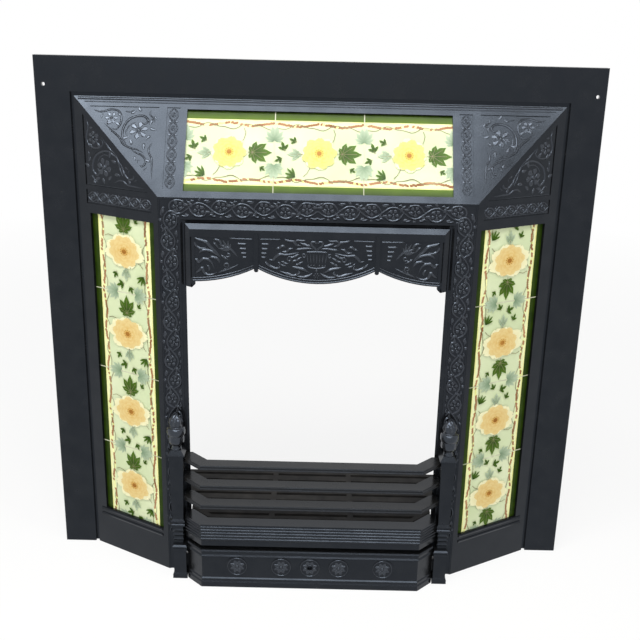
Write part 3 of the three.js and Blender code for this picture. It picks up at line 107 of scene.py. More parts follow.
# ---- Materials -----------------------------------------------------------------------------------
def new_material(name):
    material = bpy.data.materials.new(name)
    material.use_nodes = True
    tree = material.node_tree
    return material, tree, tree.nodes["Principled BSDF"]


def add(tree, kind, **settings):
    node = tree.nodes.new(kind)
    for key, value in settings.items():
        if key in node.inputs:
            node.inputs[key].default_value = value
        else:
            setattr(node, key, value)
    return node


def noise(tree, scale, detail=4.0, roughness=0.5):
    coords = add(tree, "ShaderNodeTexCoord")
    node = add(tree, "ShaderNodeTexNoise")
    node.inputs["Scale"].default_value = scale
    node.inputs["Detail"].default_value = detail
    node.inputs["Roughness"].default_value = roughness
    tree.links.new(coords.outputs["Object"], node.inputs["Vector"])
    return node.outputs["Fac"]


def ramp(tree, source, stops):
    node = add(tree, "ShaderNodeValToRGB")
    elements = node.color_ramp.elements
    while len(elements) < len(stops):
        elements.new(0.5)
    for element, (place, colour) in zip(elements, stops):
        element.position = place
        element.color = (*colour, 1.0)
    tree.links.new(source, node.inputs["Fac"])
    return node.outputs["Color"]


def spread(tree, source, low, high, out_low, out_high):
    node = add(tree, "ShaderNodeMapRange")
    ends = {"From Min": low, "From Max": high, "To Min": out_low, "To Max": out_high}
    for key, value in ends.items():
        node.inputs[key].default_value = value
    tree.links.new(source, node.inputs["Value"])
    return node.outputs["Result"]


def bump(tree, shader, source, distance, strength):
    node = add(tree, "ShaderNodeBump")
    node.inputs["Distance"].default_value = distance
    node.inputs["Strength"].default_value = strength
    tree.links.new(source, node.inputs["Height"])
    tree.links.new(node.outputs["Normal"], shader.inputs["Normal"])


IRON_SHEEN = (0.68, 0.8, 1.0, 1.0)
GLAZE_GLOSS = 0.07


def iron(name, dark, light, rough, edge_wear_and_highlight=0.0, gloss=0.2, metallic=0.0):
    """A fine cast skin with a cool sheen. Edges are painted lighter, for rubbed lead and a painted
    highlight; metallic makes it bare steel.
    """
    material, tree, shader = new_material(name)
    cloud = noise(tree, 35.0, 5.0)
    skin = ramp(tree, cloud, [(0.3, dark), (0.72, light)])
    if edge_wear_and_highlight:
        # Sharp edges, found by Pointiness, are painted lighter: partly rubbed black-lead, partly a
        # painted highlight.
        edge = add(tree, "ShaderNodeNewGeometry").outputs["Pointiness"]
        edge = spread(tree, edge, 0.5, 0.6, 0.0, edge_wear_and_highlight)
        mix = add(tree, "ShaderNodeMix", data_type="RGBA")
        tree.links.new(edge, mix.inputs["Factor"])
        tree.links.new(skin, mix.inputs["A"])
        mix.inputs["B"].default_value = (*[min(1.0, c * 3.0) for c in light], 1.0)
        skin = mix.outputs["Result"]
    tree.links.new(skin, shader.inputs["Base Color"])
    dull = spread(tree, cloud, 0.3, 0.7, rough + 0.06, rough - 0.04)
    tree.links.new(dull, shader.inputs["Roughness"])
    shader.inputs["Metallic"].default_value = metallic
    shader.inputs["Specular IOR Level"].default_value = gloss
    shader.inputs["Specular Tint"].default_value = IRON_SHEEN
    bump(tree, shader, noise(tree, 420.0, 3.0), 0.0004, 0.13)
    return material


def glaze(name, stops, scale=30.0, attribute=None, rough=0.1):
    """A fired colour under clear glaze. Its shade follows noise or the piece's own attribute."""
    material, tree, shader = new_material(name)
    source = noise(tree, scale, 3.0)
    if attribute:
        node = add(tree, "ShaderNodeAttribute", attribute_name=attribute)
        total = add(tree, "ShaderNodeMath", operation="MULTIPLY_ADD")
        tree.links.new(source, total.inputs[0])
        total.inputs[1].default_value = 0.35
        tree.links.new(node.outputs["Fac"], total.inputs[2])
        source = spread(tree, total.outputs["Value"], 0.17, 1.17, 0.0, 1.0)
    tree.links.new(ramp(tree, source, stops), shader.inputs["Base Color"])
    shader.inputs["Roughness"].default_value = rough
    shader.inputs["Specular IOR Level"].default_value = GLAZE_GLOSS
    bump(tree, shader, noise(tree, 90.0, 2.0), 0.0006, 0.06)
    return material


IRON = iron(
    "black_leaded_iron", (0.0035, 0.0037, 0.0042), (0.0075, 0.0078, 0.0085), 0.19, gloss=0.31
)
# The raised ornament's iron is painted about twice as light as the plain iron: partly polished
# black-lead, partly a painted highlight.
RELIEF_IRON_RUBBED_AND_LIT = iron(
    "relief_iron_rubbed_and_highlit", (0.007, 0.0073, 0.008), (0.014, 0.0145, 0.016), 0.17, edge_wear_and_highlight=0.6, gloss=0.62
)
BAR_IRON = iron("bar_iron", (0.008, 0.0078, 0.0076), (0.012, 0.0117, 0.0114), 0.24, gloss=0.22)
GRATE_IRON = iron("grate_iron", (0.012, 0.011, 0.0105), (0.024, 0.022, 0.02), 0.6, gloss=0.1)
STEEL = iron("fixing_steel", (0.2, 0.2, 0.205), (0.3, 0.3, 0.305), 0.38, metallic=1.0)
FIELD_GLAZE = glaze("tile_field", [(0.3, (0.52, 0.6, 0.36)), (0.7, (0.64, 0.69, 0.47))], 9.0)
# Dark green border glaze; its shade attribute darkens it towards the iron edge as a painted shadow.
BORDER_GLAZE = glaze(
    "tile_border", [(0.0, (0.01, 0.022, 0.002)), (1.0, (0.09, 0.16, 0.008))], 40.0, "shade"
)
LINE_GLAZE = glaze("tile_line", [(0.3, (0.62, 0.62, 0.2)), (0.7, (0.85, 0.84, 0.45))])
ROPE_GLAZE = glaze("tile_rope", [(0.3, (0.22, 0.09, 0.035)), (0.7, (0.44, 0.24, 0.12))])
STEM_GLAZE = glaze("tile_stem", [(0.3, (0.16, 0.14, 0.07)), (0.7, (0.3, 0.28, 0.16))])
LEAF_GLAZE = glaze(
    "tile_leaf", [(0.0, (0.008, 0.028, 0.003)), (1.0, (0.075, 0.15, 0.012))], 60.0, "shade"
)
PALE_LEAF_GLAZE = glaze(
    "tile_pale_leaf", [(0.0, (0.13, 0.21, 0.12)), (1.0, (0.42, 0.5, 0.36))], 60.0, "shade"
)
YELLOW_GLAZE = glaze(
    "tile_yellow_petal",
    [(0.0, (0.46, 0.22, 0.03)), (0.3, (0.56, 0.45, 0.08)), (1.0, (0.64, 0.58, 0.19))],
    60.0, "shade",
)
PEACH_GLAZE = glaze(
    "tile_peach_petal",
    [(0.0, (0.4, 0.16, 0.03)), (0.35, (0.6, 0.37, 0.1)), (1.0, (0.68, 0.53, 0.24))],
    60.0, "shade",
)
SOFT_GLAZE = glaze(
    "tile_soft_petal", [(0.0, (0.66, 0.56, 0.28)), (1.0, (0.76, 0.74, 0.48))], 40.0, "shade"
)
CREAM_GLAZE = glaze(
    "tile_cream", [(0.0, (0.68, 0.74, 0.46)), (1.0, (0.78, 0.77, 0.42))], 12.0, "shade"
)
HEART_GLAZE = glaze("tile_flower_heart", [(0.3, (0.2, 0.07, 0.012)), (0.7, (0.46, 0.22, 0.04))])
GROUT = glaze("tile_joint", [(0.3, (0.45, 0.45, 0.33)), (0.7, (0.6, 0.6, 0.46))], 50.0, rough=0.5)


# ---- Flat frames that the ornament is drawn in ---------------------------------------------------
class Plane:
    """Maps (along, up, height out of the surface) in millimetres to the row's frame in metres."""

    def __init__(self, origin, along, up, out):
        self.origin = np.array(origin, float)
        self.axes = np.array([along, up, out], float)

    def to_row(self, points):
        return (np.asarray(points, float) @ self.axes + self.origin) * MM


TOP = Plane((0, Y_SHIFT, SPLAY_OUTER_TOP), (1, 0, 0), (0, SIN, COS), (0, -COS, SIN))
LEFT = Plane((-SPLAY_OUTER, Y_SHIFT, 0), (0, 0, 1), (-COS, SIN, 0), (-SIN, -COS, 0))
RIGHT = Plane((SPLAY_OUTER, Y_SHIFT, 0), (0, 0, -1), (COS, SIN, 0), (SIN, -COS, 0))


def facing(y):
    """The upright plane that faces the room, y behind the frame's front face."""
    return Plane((0, y + Y_SHIFT, 0), (1, 0, 0), (0, 0, 1), (0, -1, 0))


# ---- Relief: raised strokes, leaves and bosses gathered into one mesh ----------------------------
STROKE_RISE = 0.3  # a stroke's height, as a share of its width
LEAF_SECTION = (1.0, 1.0, 0.7, 0.0)  # a leaf's height from its vein to its edge
# Across a stroke: a share of its half width, and of its height. Below 0 it reaches its base.
STROKE_SECTION = ((1.0, -1), (0.88, 0.08), (0.55, 0.52), (0.2, 0.92))
SUNK = -0.4  # leaves and bosses end this far under the surface


class Relief:
    def __init__(self, rise=STROKE_RISE):
        self.rise = rise
        self.points = []
        self.faces = []
        self.shades = []
        self.slots = []
        self.slot = 0

    def grid(self, rows, shades=None, closed=False):
        """A sheet through rows of points, each row the same length. Height is the third number."""
        start = len(self.points)
        width = len(rows[0])
        for r, row in enumerate(rows):
            self.points.extend(row)
            self.shades.extend(shades[r] if shades else [0.5] * width)
        count = len(rows)
        for r in range(count if closed else count - 1):
            below = start + r * width
            above = start + ((r + 1) % count) * width
            for c in range(width - 1):
                self.faces.append((below + c, below + c + 1, above + c + 1, above + c))
                self.slots.append(self.slot)

    def stroke(self, path, width, height=None, ends=(0.25, 0.25), base=-0.3, closed=False):
        """A raised line with sloped sides. It narrows over a share of its length at each end."""
        height = self.rise * width if height is None else height
        path = np.asarray(path, float)
        count = len(path)
        if closed:
            ahead = np.roll(path, -1, axis=0) - np.roll(path, 1, axis=0)
        else:
            ahead = np.gradient(path, axis=0)
        ahead /= np.maximum(np.linalg.norm(ahead, axis=1), 1e-9)[:, None]
        across = np.stack([-ahead[:, 1], ahead[:, 0]], axis=1)
        place = np.linspace(0.0, 1.0, count)
        size = np.ones(count)
        if not closed:
            if ends[0]:
                size *= np.clip(place / ends[0], 0.0, 1.0) ** 0.6
            if ends[1]:
                size *= np.clip((1 - place) / ends[1], 0.0, 1.0) ** 0.6
            size = np.maximum(size, 0.12)
        left = [(-share, rise) for share, rise in STROKE_SECTION]
        section = [*left, (0.0, 1.0), *STROKE_SECTION[::-1]]
        rows = []
        for i in range(count):
            half = 0.5 * width * size[i]
            rows.append([
                (
                    path[i, 0] + across[i, 0] * half * share,
                    path[i, 1] + across[i, 1] * half * share,
                    base if rise < 0 else height * size[i] * rise,
                )
                for share, rise in section
            ])
        self.grid(rows, closed=closed)

    def leaf(self, start, angle, length, width, height, bend=0.0, crease=0.35, blunt=0.75):
        """A leaf or petal. Bend turns its tip, crease sinks its vein, blunt swells its end."""
        steps, sides = 12, 6
        rows, shades = [], []
        spot = np.array(start, float)
        for i in range(steps + 1):
            t = i / steps
            heading = angle + bend * t
            if i:
                spot = spot + np.array([math.cos(heading), math.sin(heading)]) * length / steps
            half = 0.5 * width * math.sin(math.pi * min(1.0, 0.06 + 0.94 * t) ** blunt)
            half = max(half, 0.05)
            normal = np.array([-math.sin(heading), math.cos(heading)])
            row = []
            for k in range(sides + 1):
                s = -1 + 2 * k / sides
                rise = LEAF_SECTION[abs(k - sides // 2)]
                if k == sides // 2:
                    rise -= crease
                lift = height * min(1.0, 3 * t + 0.25) * (1 - 0.5 * t)
                level = SUNK + (lift - SUNK) * max(0.0, rise)
                row.append((*(spot + normal * half * s * -1), level))
            rows.append(row)
            shades.append([
                min(1.0, t * 0.8 + 0.2 * abs(-1 + 2 * k / sides)) for k in range(sides + 1)
            ])
        self.grid(rows, shades)

    def boss(self, centre, radius, height, rings=5, sides=16):
        rows = []
        for i in range(sides + 1):
            turn = -2 * math.pi * i / sides
            rows.append([
                (
                    centre[0] + radius * math.sin(0.5 * math.pi * k / rings) * math.cos(turn),
                    centre[1] + radius * math.sin(0.5 * math.pi * k / rings) * math.sin(turn),
                    SUNK + (height - SUNK) * math.cos(0.5 * math.pi * k / rings),
                )
                for k in range(rings + 1)
            ])
        self.grid(rows)

    def flower(self, centre, radius, petals, height, turn=0.0, width=0.9):
        for i in range(petals):
            angle = turn + 2 * math.pi * i / petals
            reach = radius * 0.18
            start = (centre[0] + reach * math.cos(angle), centre[1] + reach * math.sin(angle))
            size = width * 2 * math.pi * radius / petals * 0.62
            self.leaf(start, angle, radius * 0.82, size, height, crease=0.4, blunt=1.7)
        self.boss(centre, radius * 0.24, height * 1.15, sides=10, rings=3)

    def ring(self, centre, radius, width, height=None, sides=32, squash=1.0, turn=0.0):
        path = []
        for i in range(sides):
            a = 2 * math.pi * i / sides
            x, y = radius * math.cos(a), radius * squash * math.sin(a)
            path.append((
                centre[0] + x * math.cos(turn) - y * math.sin(turn),
                centre[1] + x * math.sin(turn) + y * math.cos(turn),
            ))
        self.stroke(path, width, height, closed=True)

    def make(self, name, plane, materials, body, slot, both=False):
        """The finished piece in the row's frame. With both, its mirror image is part of it."""
        points = plane.to_row(self.points)
        faces = list(self.faces)
        slots = list(self.slots)
        shades = list(self.shades)
        if both:
            faces += [tuple(i + len(points) for i in reversed(f)) for f in self.faces]
            points = np.vstack([points, points * np.array([-1.0, 1.0, 1.0])])
            slots += slots
            shades += shades
        mesh = bpy.data.meshes.new(name)
        mesh.from_pydata(points.tolist(), [], faces)
        for material in materials:
            mesh.materials.append(material)
        mesh.polygons.foreach_set("material_index", slots)
        mesh.polygons.foreach_set("use_smooth", [True] * len(faces))
        shade = mesh.attributes.new("shade", "FLOAT", "POINT")
        shade.data.foreach_set("value", shades)
        mesh.update()
        piece = bpy.data.objects.new(name, mesh)
        bpy.context.scene.collection.objects.link(piece)
        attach(piece, body)
        return piece

    def cast(self, name, plane, body="surround", both=False):
        return self.make(name, plane, [RELIEF_IRON_RUBBED_AND_LIT], body, "black_iron", both)


def spiral(centre, outer, inner, start, sweep, steps=28):
    """From its outer end, turning in by sweep radians."""
    path = []
    for i in range(steps + 1):
        radius = outer + (inner - outer) * (i / steps) ** 0.8
        turn = start + sweep * i / steps
        path.append((centre[0] + radius * math.cos(turn), centre[1] + radius * math.sin(turn)))
    return path


def smooth(points, steps=8):
    """A Catmull-Rom curve through the points."""
    p = [np.array(q, float) for q in points]
    p = [2 * p[0] - p[1]] + p + [2 * p[-1] - p[-2]]
    out = []
    for a, b, c, d in zip(p, p[1:], p[2:], p[3:]):
        for i in range(steps):
            t = i / steps
            out.append(0.5 * (2 * b + (c - a) * t + (2 * a - 5 * b + 4 * c - d) * t * t
                              + (3 * b - a - 3 * c + d) * t ** 3))
    out.append(p[-2])
    return out


# ---- Vine on the arch band -----------------------------------------------------------------------
VINE_LOW = 78.0  # the vine's lower end
VINE_BEND = 37.0  # about the length of a bend
VINE_TURN = 12.0  # radius of its turn at the corner
VINE_SWING = 9.5


def arch_band():
    """A running vine with a flower and a curl in each bend, up a leg and along half the head."""
    relief = Relief(rise=0.38)
    middle = FIELD_IN + FIELD_WIDTH / 2
    corner = OPENING_TOP + middle - VINE_LOW
    total = corner + OPENING_HALF + middle
    bends = round(total / VINE_BEND)
    half_wave = total / bends

    def place(along, off):
        """A point of the band: off is towards the outer edge."""
        if along < corner - VINE_TURN:
            return (-OPENING_HALF - middle - off, VINE_LOW + along)
        if along > corner + VINE_TURN:
            return (-OPENING_HALF - middle + (along - corner), OPENING_TOP + middle + off)
        turn = (along - corner + VINE_TURN) / (2 * VINE_TURN) * math.pi / 2
        reach = VINE_TURN + off
        return (
            -OPENING_HALF - middle + VINE_TURN - reach * math.cos(turn),
            OPENING_TOP + middle - VINE_TURN + reach * math.sin(turn),
        )

    def heading(along, off):
        here, ahead = place(along, off), place(along + 1.0, off)
        return math.atan2(ahead[1] - here[1], ahead[0] - here[0])

    stem = [
        place(a, VINE_SWING * math.sin(math.pi * a / half_wave))
        for a in np.linspace(0, total, int(total / 3))
    ]
    relief.stroke(stem, 4.2, ends=(0.01, 0.0))
    for i in range(bends):
        mid = (i + 0.5) * half_wave
        side = 1 if i % 2 == 0 else -1

        def line(points, width, ends=(0.2, 0.3)):
            path = smooth([place(mid + a, b * side) for a, b in points], 4)
            relief.stroke(path, width * 1.5, ends=ends)

        relief.flower(place(mid, -3.0 * side), 9.8, 5, 1.8, turn=1.3 * i)
        line([(-18, 4), (-14, -5), (-8, -11.5), (0, -13.6), (8, -12), (12, -7), (11, -2)], 3.4)
        line([(15, -13.4), (20, -10), (24, -12.5), (28, -14)], 3.0)
        line([(11, -2), (6, 2.5), (1, 4.6)], 2.4)
        line([(-15, 13.6), (-11, 13.2), (-7, 11.5)], 2.8)
        line([(6, 12.0), (11, 13.6), (16, 13.4), (19, 10.8)], 3.0)
        for reach, off, turn, size in (
            (13.5, -7.0, 0.5, 11.0), (-13.0, 9.0, -0.5, 10.0),
            (-21.0, -12.0, 0.3, 10.0), (3.0, 12.5, 1.2, 8.0),
        ):
            at = heading(mid + reach, off * side) + turn * side
            relief.leaf(place(mid + reach - 4, off * side), at, size, 6.0, 1.9, bend=-0.9 * side)
    relief.cast("arch_vine", facing(ARCH_FACE + 1.0), both=True)


# ---- Splayed panels ------------------------------------------------------------------------------
def triangle_field(relief, corner, scale, along, down, petal_rise=1.0):
    """Scrolls and flowers in a right-angled field. Points are millimetres from its right angle:
    first towards the near tip, then towards the far tip. Along and down are those directions."""
    along, down = np.array(along) * scale[0], np.array(down) * scale[1]
    hand = math.copysign(1, along[0] * down[1] - along[1] * down[0])
    swell = relief.rise / STROKE_RISE
    facing_along = math.atan2(along[1], along[0])

    def at(a, b):
        return tuple(np.array(corner) + along * a + down * b)

    def turn(angle):
        """An angle measured from along towards down."""
        return facing_along + hand * angle

    def line(points, width, ends=(0.2, 0.25)):
        relief.stroke(smooth([at(a, b) for a, b in points], 7), width, ends=ends)

    relief.flower(at(33, 43), 16.5, 6, 1.7 * petal_rise, turn=0.3, width=1.05)
    relief.ring(at(33, 43), 5.2, 2.0, sides=16)
    relief.flower(at(81, 21), 11.5, 6, 1.6 * petal_rise, width=1.05)
    line([(52, 70), (60, 55), (59, 38), (51, 24), (38, 17), (25, 17), (18, 25), (24, 31),
          (30, 27)], 5.0)
    line([(52, 58), (54, 44), (48, 33), (38, 28)], 2.8)
    line([(112, 7), (102, 10), (94, 9), (82, 5.5), (70, 8), (64, 18), (65, 32), (72, 42),
          (80, 39)], 4.2)
    line([(97, 26), (91, 34), (83, 41), (73, 49), (64, 58), (58, 68), (46, 75), (34, 78),
          (22, 84)], 4.2)
    line([(14, 6), (15, 14), (9, 20), (6, 28)], 3.0)
    line([(9, 66), (14, 75), (13, 84), (8, 94), (7, 108), (6, 130)], 3.6)
    line([(44, 78), (34, 84), (25, 88), (18, 97), (21, 107), (30, 107), (33, 99), (27, 96)], 4.0)
    line([(50, 80), (44, 92), (37, 100), (30, 113), (20, 114), (15, 108)], 3.4)
    line([(24, 117), (17, 122), (11, 131)], 3.0)
    line([(58, 8), (50, 9), (42, 6)], 3.0)
    for a, b, angle, size, bend in (
        (10, 22, 0.9, 13, 0.7), (8, 16, 2.4, 9, -0.5), (14, 38, 2.5, 12, 0.6),
        (12, 52, 0.4, 12, 0.8), (60, 60, 3.9, 13, -0.7), (66, 36, 5.2, 12, 0.8),
        (88, 33, 4.0, 12, -0.8), (70, 12, 2.2, 11, 0.7), (44, 70, 4.6, 12, 0.8),
        (22, 66, 1.2, 13, 0.7), (38, 90, 2.1, 11, -0.7), (10, 100, 5.6, 11, 0.7),
        (30, 8, 5.6, 12, -0.6), (96, 14, 1.0, 9, 0.6), (34, 108, 1.9, 10, 0.6),
        (48, 12, 3.4, 10, 0.5),
    ):
        relief.leaf(at(a, b), turn(angle), size, size * 0.5, 1.4 * swell, bend=bend * hand)


def chain(relief, start, step, count, reach):
    """Two cords that cross between eyes. Each eye holds a ring and a bead, each crossing leaves."""
    step = np.array(step, float)
    pitch = np.linalg.norm(step)
    ahead = step / pitch
    side = np.array([-ahead[1], ahead[0]])
    angle = math.atan2(ahead[1], ahead[0])
    first = np.array(start, float) - step / 2
    for sign in (1, -1):
        cord = [
            first + ahead * a + side * sign * reach * math.sin(math.pi * a / pitch)
            for a in np.linspace(0, pitch * count, 9 * count)
        ]
        relief.stroke(cord, 3.2, ends=(0.01, 0.01))
    for i in range(count):
        centre = np.array(start, float) + step * i
        relief.ring(centre, reach * 0.5, 2.8, sides=18, squash=0.85, turn=angle)
        relief.boss(centre, 1.4, 1.2, sides=8, rings=3)
        if i < count - 1:
            knot = centre + step / 2
            for s in (1, -1):
                relief.leaf(knot + side * s * 3.0, angle + math.pi / 2 * s, reach * 0.8, 4.6, 1.3)


TOP_FIELD = Plane(TOP.origin - TOP.axes[2] * FIELD_SINK, *TOP.axes)
LEFT_FIELD = Plane(LEFT.origin - LEFT.axes[2] * FIELD_SINK, *LEFT.axes)


def panels():
    top = Relief(rise=0.27)
    triangle_field(top, (-275.2, -18.0), (1.0, 1.0), (-1, 0), (0, -1), petal_rise=0.55)
    chain(top, (-250.2, -31.0), (0, -24.4), 6, 7.4)
    top.cast("top_panel_relief", TOP_FIELD, both=True)
    side = Relief()
    triangle_field(side, (721.0, -18.0), (1.02, 1.02), (1, 0), (0, -1))
    chain(side, (700.5, -31.0), (0, -24.4), 6, 8.2)
    side.stroke([(721.8, -20.0), (721.8, -85.0), (721.8, -150.0)], 2.2, ends=(0, 0.1))
    side.stroke([(690.6, -19.0), (690.6, -90.0), (690.6, -162.0)], 2.2, ends=(0, 0))
    side.cast("side_panel_relief", LEFT_FIELD, both=True)
    rims = Relief()
    rims.stroke([(-416.0, -4.2), (-200.0, -4.2), (0.0, -4.2)], 6.0, 1.6, ends=(0, 0), base=-0.2)
    rims.stroke([(-404.0, -10.2), (-200.0, -10.2), (0.0, -10.2)], 2.4, 0.7, ends=(0, 0), base=-0.2)
    rims.cast("top_panel_bead", TOP, both=True)


# ---- Hood ----------------------------------------------------------------------------------------
HOOD_EDGE_LINES = ((2.0, 3.0), (6.4, 2.6))  # height above the hood's scalloped edge, and width


def lobe_line(centre, radius, start, end, raised, steps=24):
    return [
        (x, HOOD_LOBE_LOW + radius - math.sqrt((radius - raised) ** 2 - (x - centre) ** 2))
        for x in np.linspace(start, end, steps)
    ]


def hood():
    lines = Relief()
    for raised, width in HOOD_EDGE_LINES:
        lines.stroke(lobe_line(0, HOOD_LOBE_RADIUS, -98.5, 98.5, raised), width, ends=(0, 0))
    lines.cast("hood_middle_lines", facing(HOOD_FACE))
    side = Relief()
    for raised, width in HOOD_EDGE_LINES:
        path = lobe_line(-HOOD_SIDE_LOBE, HOOD_SIDE_RADIUS, -211.0, -107.5, raised)
        side.stroke(path, width, ends=(0, 0))
    side.cast("hood_side_lines", facing(HOOD_FACE), both=True)

    deep = Relief(rise=0.34)

    def line(points, width=3.8, ends=(0.2, 0.3)):
        deep.stroke(smooth(points, 5), width * 1.5, ends=ends)

    # Beside each rib: a line under the rim, then four short fins.
    line([(-96, 650.6), (-78, 650.8), (-60, 651)], 3.0, (0, 0.1))
    line([(-110, 650.2), (-130, 650.5), (-150, 651)], 3.0, (0, 0.1))
    for z, near, far in ((642, 81, 136), (633.8, 82.5, 132.5), (626, 84.5, 129.5), (619, 86, 127)):
        line([(-95, z), (-0.5 * (95 + near), z), (-near, z)], 3.6, (0.12, 0.2))
        line([(-119, z - 0.8), (-0.5 * (119 + far), z - 0.6), (-far, z - 0.4)], 3.6, (0.12, 0.2))
    # The middle compartment: ribbons and leaves that curl out from the urn.
    line([(-57, 653), (-50, 649.3), (-40, 647.7), (-35, 642.2), (-27, 640.4)], 4.2)
    line([(-40, 646), (-33, 650), (-25, 649.5), (-18, 651)], 3.6)
    line([(-29, 646), (-18, 641.6), (-9, 640)])
    line([(-70, 634.6), (-64, 635.7), (-58, 639.7), (-52, 637)])
    line([(-60, 630.2), (-52, 629.5), (-46.5, 634.4), (-40, 636.5)])
    line([(-37, 633.8), (-27, 635), (-16, 636.3), (-6, 635.7)])
    line([(-81, 616.5), (-75, 614.5), (-69.5, 620), (-62, 625), (-54, 624.4), (-44.5, 625.6),
          (-31, 629)], 4.2)
    line([(-88, 612), (-84, 607), (-77, 602.5), (-68, 600), (-63, 603.2), (-65, 607)])
    line([(-66, 612), (-60, 606.5), (-51, 604.5)], 3.2)
    line([(-60, 613.5), (-54, 609.5), (-47, 609)], 3.2)
    line([(-47, 619), (-39, 621), (-30, 626.5)], 3.4)
    line([(-43, 612.5), (-35, 615), (-26, 621)], 3.4)
    line([(-37, 606), (-31, 608.5), (-23, 613.5)], 3.4)
    line([(-42, 604), (-33, 602), (-23.5, 599.3), (-12, 594)], 4.4)
    line([(-62, 595.5), (-52, 591.8), (-42.5, 588.6), (-35, 588.8), (-29, 593.5), (-31, 597)], 4.0)
    line([(-35, 587.6), (-23.5, 585.8), (-14, 587.8), (-7, 593.4)], 4.0)
    line(spiral((-46, 617), 5.5, 1.5, 0.5, 7.5), 2.6)
    line(spiral((-22, 623), 4.2, 1.2, 2.6, -6.5), 2.4)
    # The urn's flutes, with a bead under each, and its lip.
    for x in (4.6, 9.4, 14.4):
        deep.stroke([(-x, 610.5), (-x * 1.08, 617.0), (-x * 1.18, 627.0)], 3.6, ends=(0.15, 0.15))
        deep.boss((-x, 606.8), 1.7, 1.2, sides=8, rings=3)
    line([(0, 630.6), (-9, 630.4), (-19, 629.8)], 3.0, (0, 0.2))
    line([(0, 632), (-4, 637), (-9, 641.5), (-9.5, 646.5), (-5, 648), (0, 644)], 3.4, (0.05, 0.05))
    line([(0, 601.5), (-9, 602.5), (-15.5, 604.5)], 2.6, (0, 0.2))
    # The outer compartment: a long leaf from the top corner over two scrolls, with curls beside.
    line([(-208, 652), (-203, 648.6), (-194.5, 646), (-187, 642.5), (-180, 634), (-172, 627.5),
          (-164, 618.5)], 4.6)
    line([(-209, 648), (-206, 638), (-198, 632.5), (-188, 633.5)], 3.4)
    line([(-201, 623.5), (-195.6, 628), (-188, 629.6), (-178, 627.6), (-170.7, 623),
          (-164, 617)], 4.6)
    line([(-210, 612.7), (-205, 612.8), (-201, 608), (-197, 611), (-192.5, 614), (-185, 613.2),
          (-179, 607.7), (-174.5, 597.5)], 4.2)
    line([(-184, 616), (-175.5, 617.3), (-169, 614.6), (-164.5, 608)], 4.2)
    line([(-209, 589), (-204, 591), (-200, 593.5), (-195, 598), (-192, 589.6), (-185, 586),
          (-176.5, 587.2), (-169.5, 592)], 4.0)
    line(spiral((-154.5, 603.4), 6.0, 1.5, 4.2, 7.5), 2.8)
    line(spiral((-150.5, 622), 4.6, 1.2, 3.2, 7.0), 2.6)
    line([(-169, 589.5), (-159.5, 593.3), (-147, 598.2), (-134, 605)], 3.2)
    line([(-176, 648.2), (-168.8, 647.8), (-163, 642.5), (-163.5, 636)], 3.6)
    line([(-175.5, 643), (-171, 638.5), (-166, 632)], 3.2)
    line([(-160, 627.5), (-157, 633.5), (-151, 635.5), (-146, 631.5), (-140, 625.5),
          (-134.5, 619.5)], 3.6)
    line([(-163, 622), (-157, 617), (-150, 613.5)], 3.2)
    line([(-187, 604), (-183, 598), (-184, 592)], 3.2)
    for lean, length in ((0.9, 15), (1.3, 19), (1.75, 21), (2.2, 19), (2.65, 16)):
        deep.leaf((-152, 629), lean, length, 6.0, 1.9, bend=0.4)
    field = facing(HOOD_FACE + FIELD_SINK)
    deep.cast("hood_relief", field, both=True)
    mid = Relief()
    mid.flower((0, 589), 5.6, 6, 1.5)
    mid.leaf((0, 600), -math.pi / 2, 6.0, 4.0, 1.4)
    mid.stroke([(0, 610.5), (0, 618.0), (0, 627.0)], 3.6, ends=(0.1, 0.1))
    mid.cast("hood_middle_relief", field)


# ---- Ash cover rosettes --------------------------------------------------------------------------
def rosettes():
    relief = Relief()
    for x in COVER_ROSETTES:
        centre = (x, COVER_MIDDLE)
        relief.ring(centre, 17.3, 2.2, 1.1, sides=40)
        inner = 5.6 if x == 0 else 3.4
        for i in range(8):
            a = 2 * math.pi * (i + 0.5) / 8
            start = (centre[0] + inner * math.cos(a), centre[1] + inner * math.sin(a))
            relief.leaf(start, a, 14.6 - inner, 8.0, 1.3, crease=0.5)
        if x:
            relief.boss(centre, 3.2, 1.5)
        else:
            relief.ring(centre, 5.8, 1.6, 1.2, sides=24)
    relief.cast("ash_cover_rosettes", facing(COVER_FACE - 1.0), "ash_cover")


# ---- Finials -------------------------------------------------------------------------------------
FINIAL_PROFILE = (  # radius, and height above the post
    (9.4, 0.3), (9.4, 2.8), (8.8, 4.6), (8.8, 7.6), (9.8, 9.8), (13.0, 13.0), (14.6, 17.0),
    (14.6, 24.0), (14.0, 27.6), (15.4, 29.6), (16.4, 32.6), (16.5, 38.6), (14.8, 42.6),
    (11.0, 44.6), (11.6, 47.0), (13.2, 51.5), (12.2, 57.0), (8.2, 62.4), (3.0, 66.4), (0.4, 67.8),
)
CUP_LOW, CUP_HIGH = 12, 26
BUD_LOW = 46


def finials():
    """Turned finials, fluted all round the bud and faintly round the cup under it."""
    profile = smooth(FINIAL_PROFILE, 4)
    sides = 48
    for name, side in (("left", -1), ("right", 1)):
        rows = []
        for i in range(sides + 1):
            turn = 2 * math.pi * i / sides
            row = []
            for radius, height in profile:
                flute = 0.0
                if height > BUD_LOW:
                    flute = min(1.0, (height - BUD_LOW) / 4) * 0.2 * abs(math.sin(4 * turn))
                elif CUP_LOW < height < CUP_HIGH:
                    flute = 0.05 * abs(math.sin(6 * turn))
                r = radius * (1 - flute)
                row.append((r * math.cos(turn), r * math.sin(turn), height))
            rows.append(row)
        relief = Relief()
        relief.grid(rows)
        origin = (side * POST_X, FINIAL_Y + Y_SHIFT, POST_TOP)
        upright = Plane(origin, (1, 0, 0), (0, 1, 0), (0, 0, 1))
        piece = relief.cast(f"{name}_finial_turned", upright, "front_bars")
        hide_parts(f"{name}_finial")


# ---- Tile glaze ----------------------------------------------------------------------------------
BORDER, LINE, ROPE, STEM, LEAF, PALE, PETAL, HEART, SOFT, CREAM = range(10)
INK_LOW = 0.05  # all shapes lie above this height on the tile's face
INK_STEP = 0.012  # each lies this much above the last


